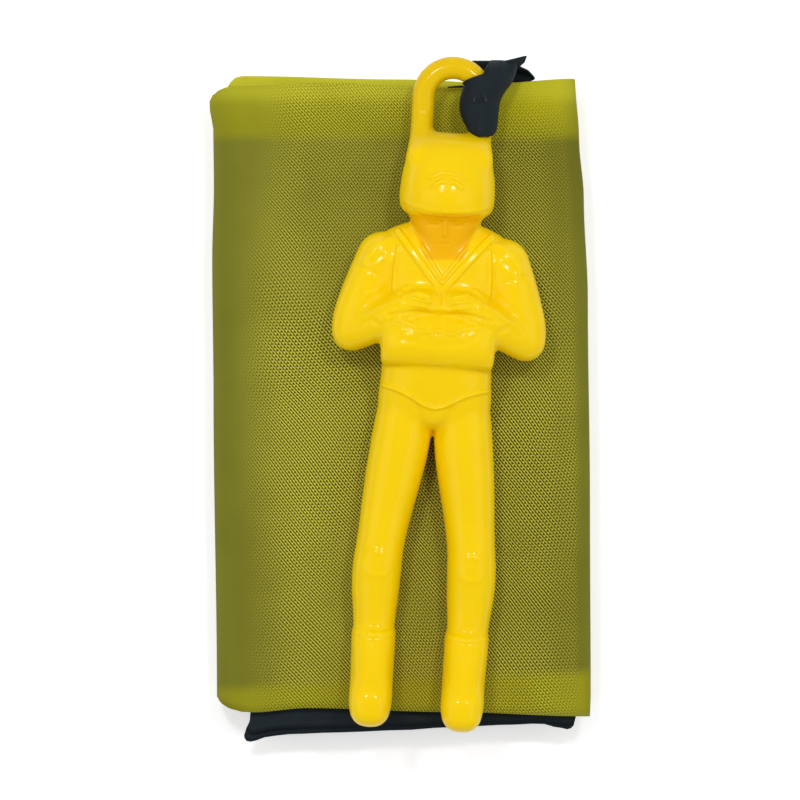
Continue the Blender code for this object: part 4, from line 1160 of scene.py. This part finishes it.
class PARACHUTE_OT_stage(bpy.types.Operator):
    """Sets the floor, the lamps, the world and the camera"""

    bl_idname = "parachute.stage"
    bl_label = "Stage"

    def execute(self, context):
        look = context.scene.parachute_look
        scene = context.scene
        bm = bmesh.new()
        bmesh.ops.create_grid(bm, x_segments=1, y_segments=1, size=3.0)
        mesh = bpy.data.meshes.new("floor")
        bm.to_mesh(mesh)
        bm.free()
        floor = bpy.data.objects.new("floor", mesh)
        scene.collection.objects.link(floor)
        paint = Paint("floor", Roughness=0.8)
        paint.finish((0.86, 0.86, 0.86))
        seen = paint.node("ShaderNodeLightPath", None, None, "Is Camera Ray")
        for ray in ("Is Glossy Ray", "Is Transmission Ray"):
            seen = seen.math("MAXIMUM", seen, paint.node("ShaderNodeLightPath", None, None, ray))
        glow = paint.node("ShaderNodeEmission", None, {"Color": (1, 1, 1, 1), "Strength": seen * 0.42})
        both = paint.node("ShaderNodeAddShader", None, {0: Field(paint, paint.shader.outputs[0]), 1: glow})
        paint.feed(paint.tree.nodes["Material Output"].inputs["Surface"], both)
        mesh.materials.append(paint.material)

        world = bpy.data.worlds.new("pale room")
        world.use_nodes = True
        shade = world.node_tree.nodes["Background"]
        shade.inputs["Color"].default_value = (1, 1, 1, 1)
        shade.inputs["Strength"].default_value = look.world_strength
        scene.world = world

        lamps = (
            ("key left", (-0.14, 0.27, 0.72), 0.09, look.key_power),
            ("key right", (0.18, 0.25, 0.70), 0.08, look.key_power * 0.8),
            ("fill left", (-0.50, -0.02, 0.56), 0.50, look.fill_power),
            ("fill right", (0.50, -0.02, 0.56), 0.50, look.fill_power),
        )
        for name, place, size, power in lamps:
            lamp = bpy.data.lights.new(name, "AREA")
            lamp.shape = "SQUARE"
            lamp.size = size
            lamp.energy = power
            holder = bpy.data.objects.new(name, lamp)
            scene.collection.objects.link(holder)
            holder.location = place
            holder.rotation_euler = (-Vector(place)).to_track_quat("-Z", "Y").to_euler()

        camera = bpy.data.cameras.new("camera")
        camera.lens = 600
        camera.sensor_width = 36
        distance = look.frame_width * camera.lens / camera.sensor_width
        camera.clip_start, camera.clip_end = 0.1, 20
        holder = bpy.data.objects.new("camera", camera)
        scene.collection.objects.link(holder)
        holder.location = (0, 0, PACK_HEIGHT + distance)
        scene.camera = holder
        scene.view_settings.view_transform = "Standard"
        return {"FINISHED"}


OPERATORS = (
    PARACHUTE_OT_stage,
    PARACHUTE_OT_crown,
    PARACHUTE_OT_panels,
    PARACHUTE_OT_riser,
    PARACHUTE_OT_threads,
    PARACHUTE_OT_jumper,
)


class PARACHUTE_PT_pieces(bpy.types.Panel):
    """Lists the toy parachute's pieces and looks"""

    bl_idname = "PARACHUTE_PT_pieces"
    bl_label = "Toy parachute"
    bl_space_type = "VIEW_3D"
    bl_region_type = "UI"
    bl_category = "Toy parachute"

    def draw(self, context):
        look = context.scene.parachute_look
        for name in look.bl_rna.properties.keys():
            if name not in ("rna_type", "name"):
                self.layout.prop(look, name)
        for operator in OPERATORS:
            self.layout.operator(operator.bl_idname)


CLASSES = (ParachuteLook, *OPERATORS, PARACHUTE_PT_pieces)


def register():
    for cls in CLASSES:
        bpy.utils.register_class(cls)
    bpy.types.Scene.parachute_look = bpy.props.PointerProperty(type=ParachuteLook)


def unregister():
    del bpy.types.Scene.parachute_look
    for cls in reversed(CLASSES):
        bpy.utils.unregister_class(cls)


def main():
    register()
    bpy.ops.parachute.stage()
    bpy.ops.parachute.crown()
    bpy.ops.parachute.panels()
    bpy.ops.parachute.riser()
    bpy.ops.parachute.threads()
    bpy.ops.parachute.jumper()


if __name__ == "__main__":
    main()
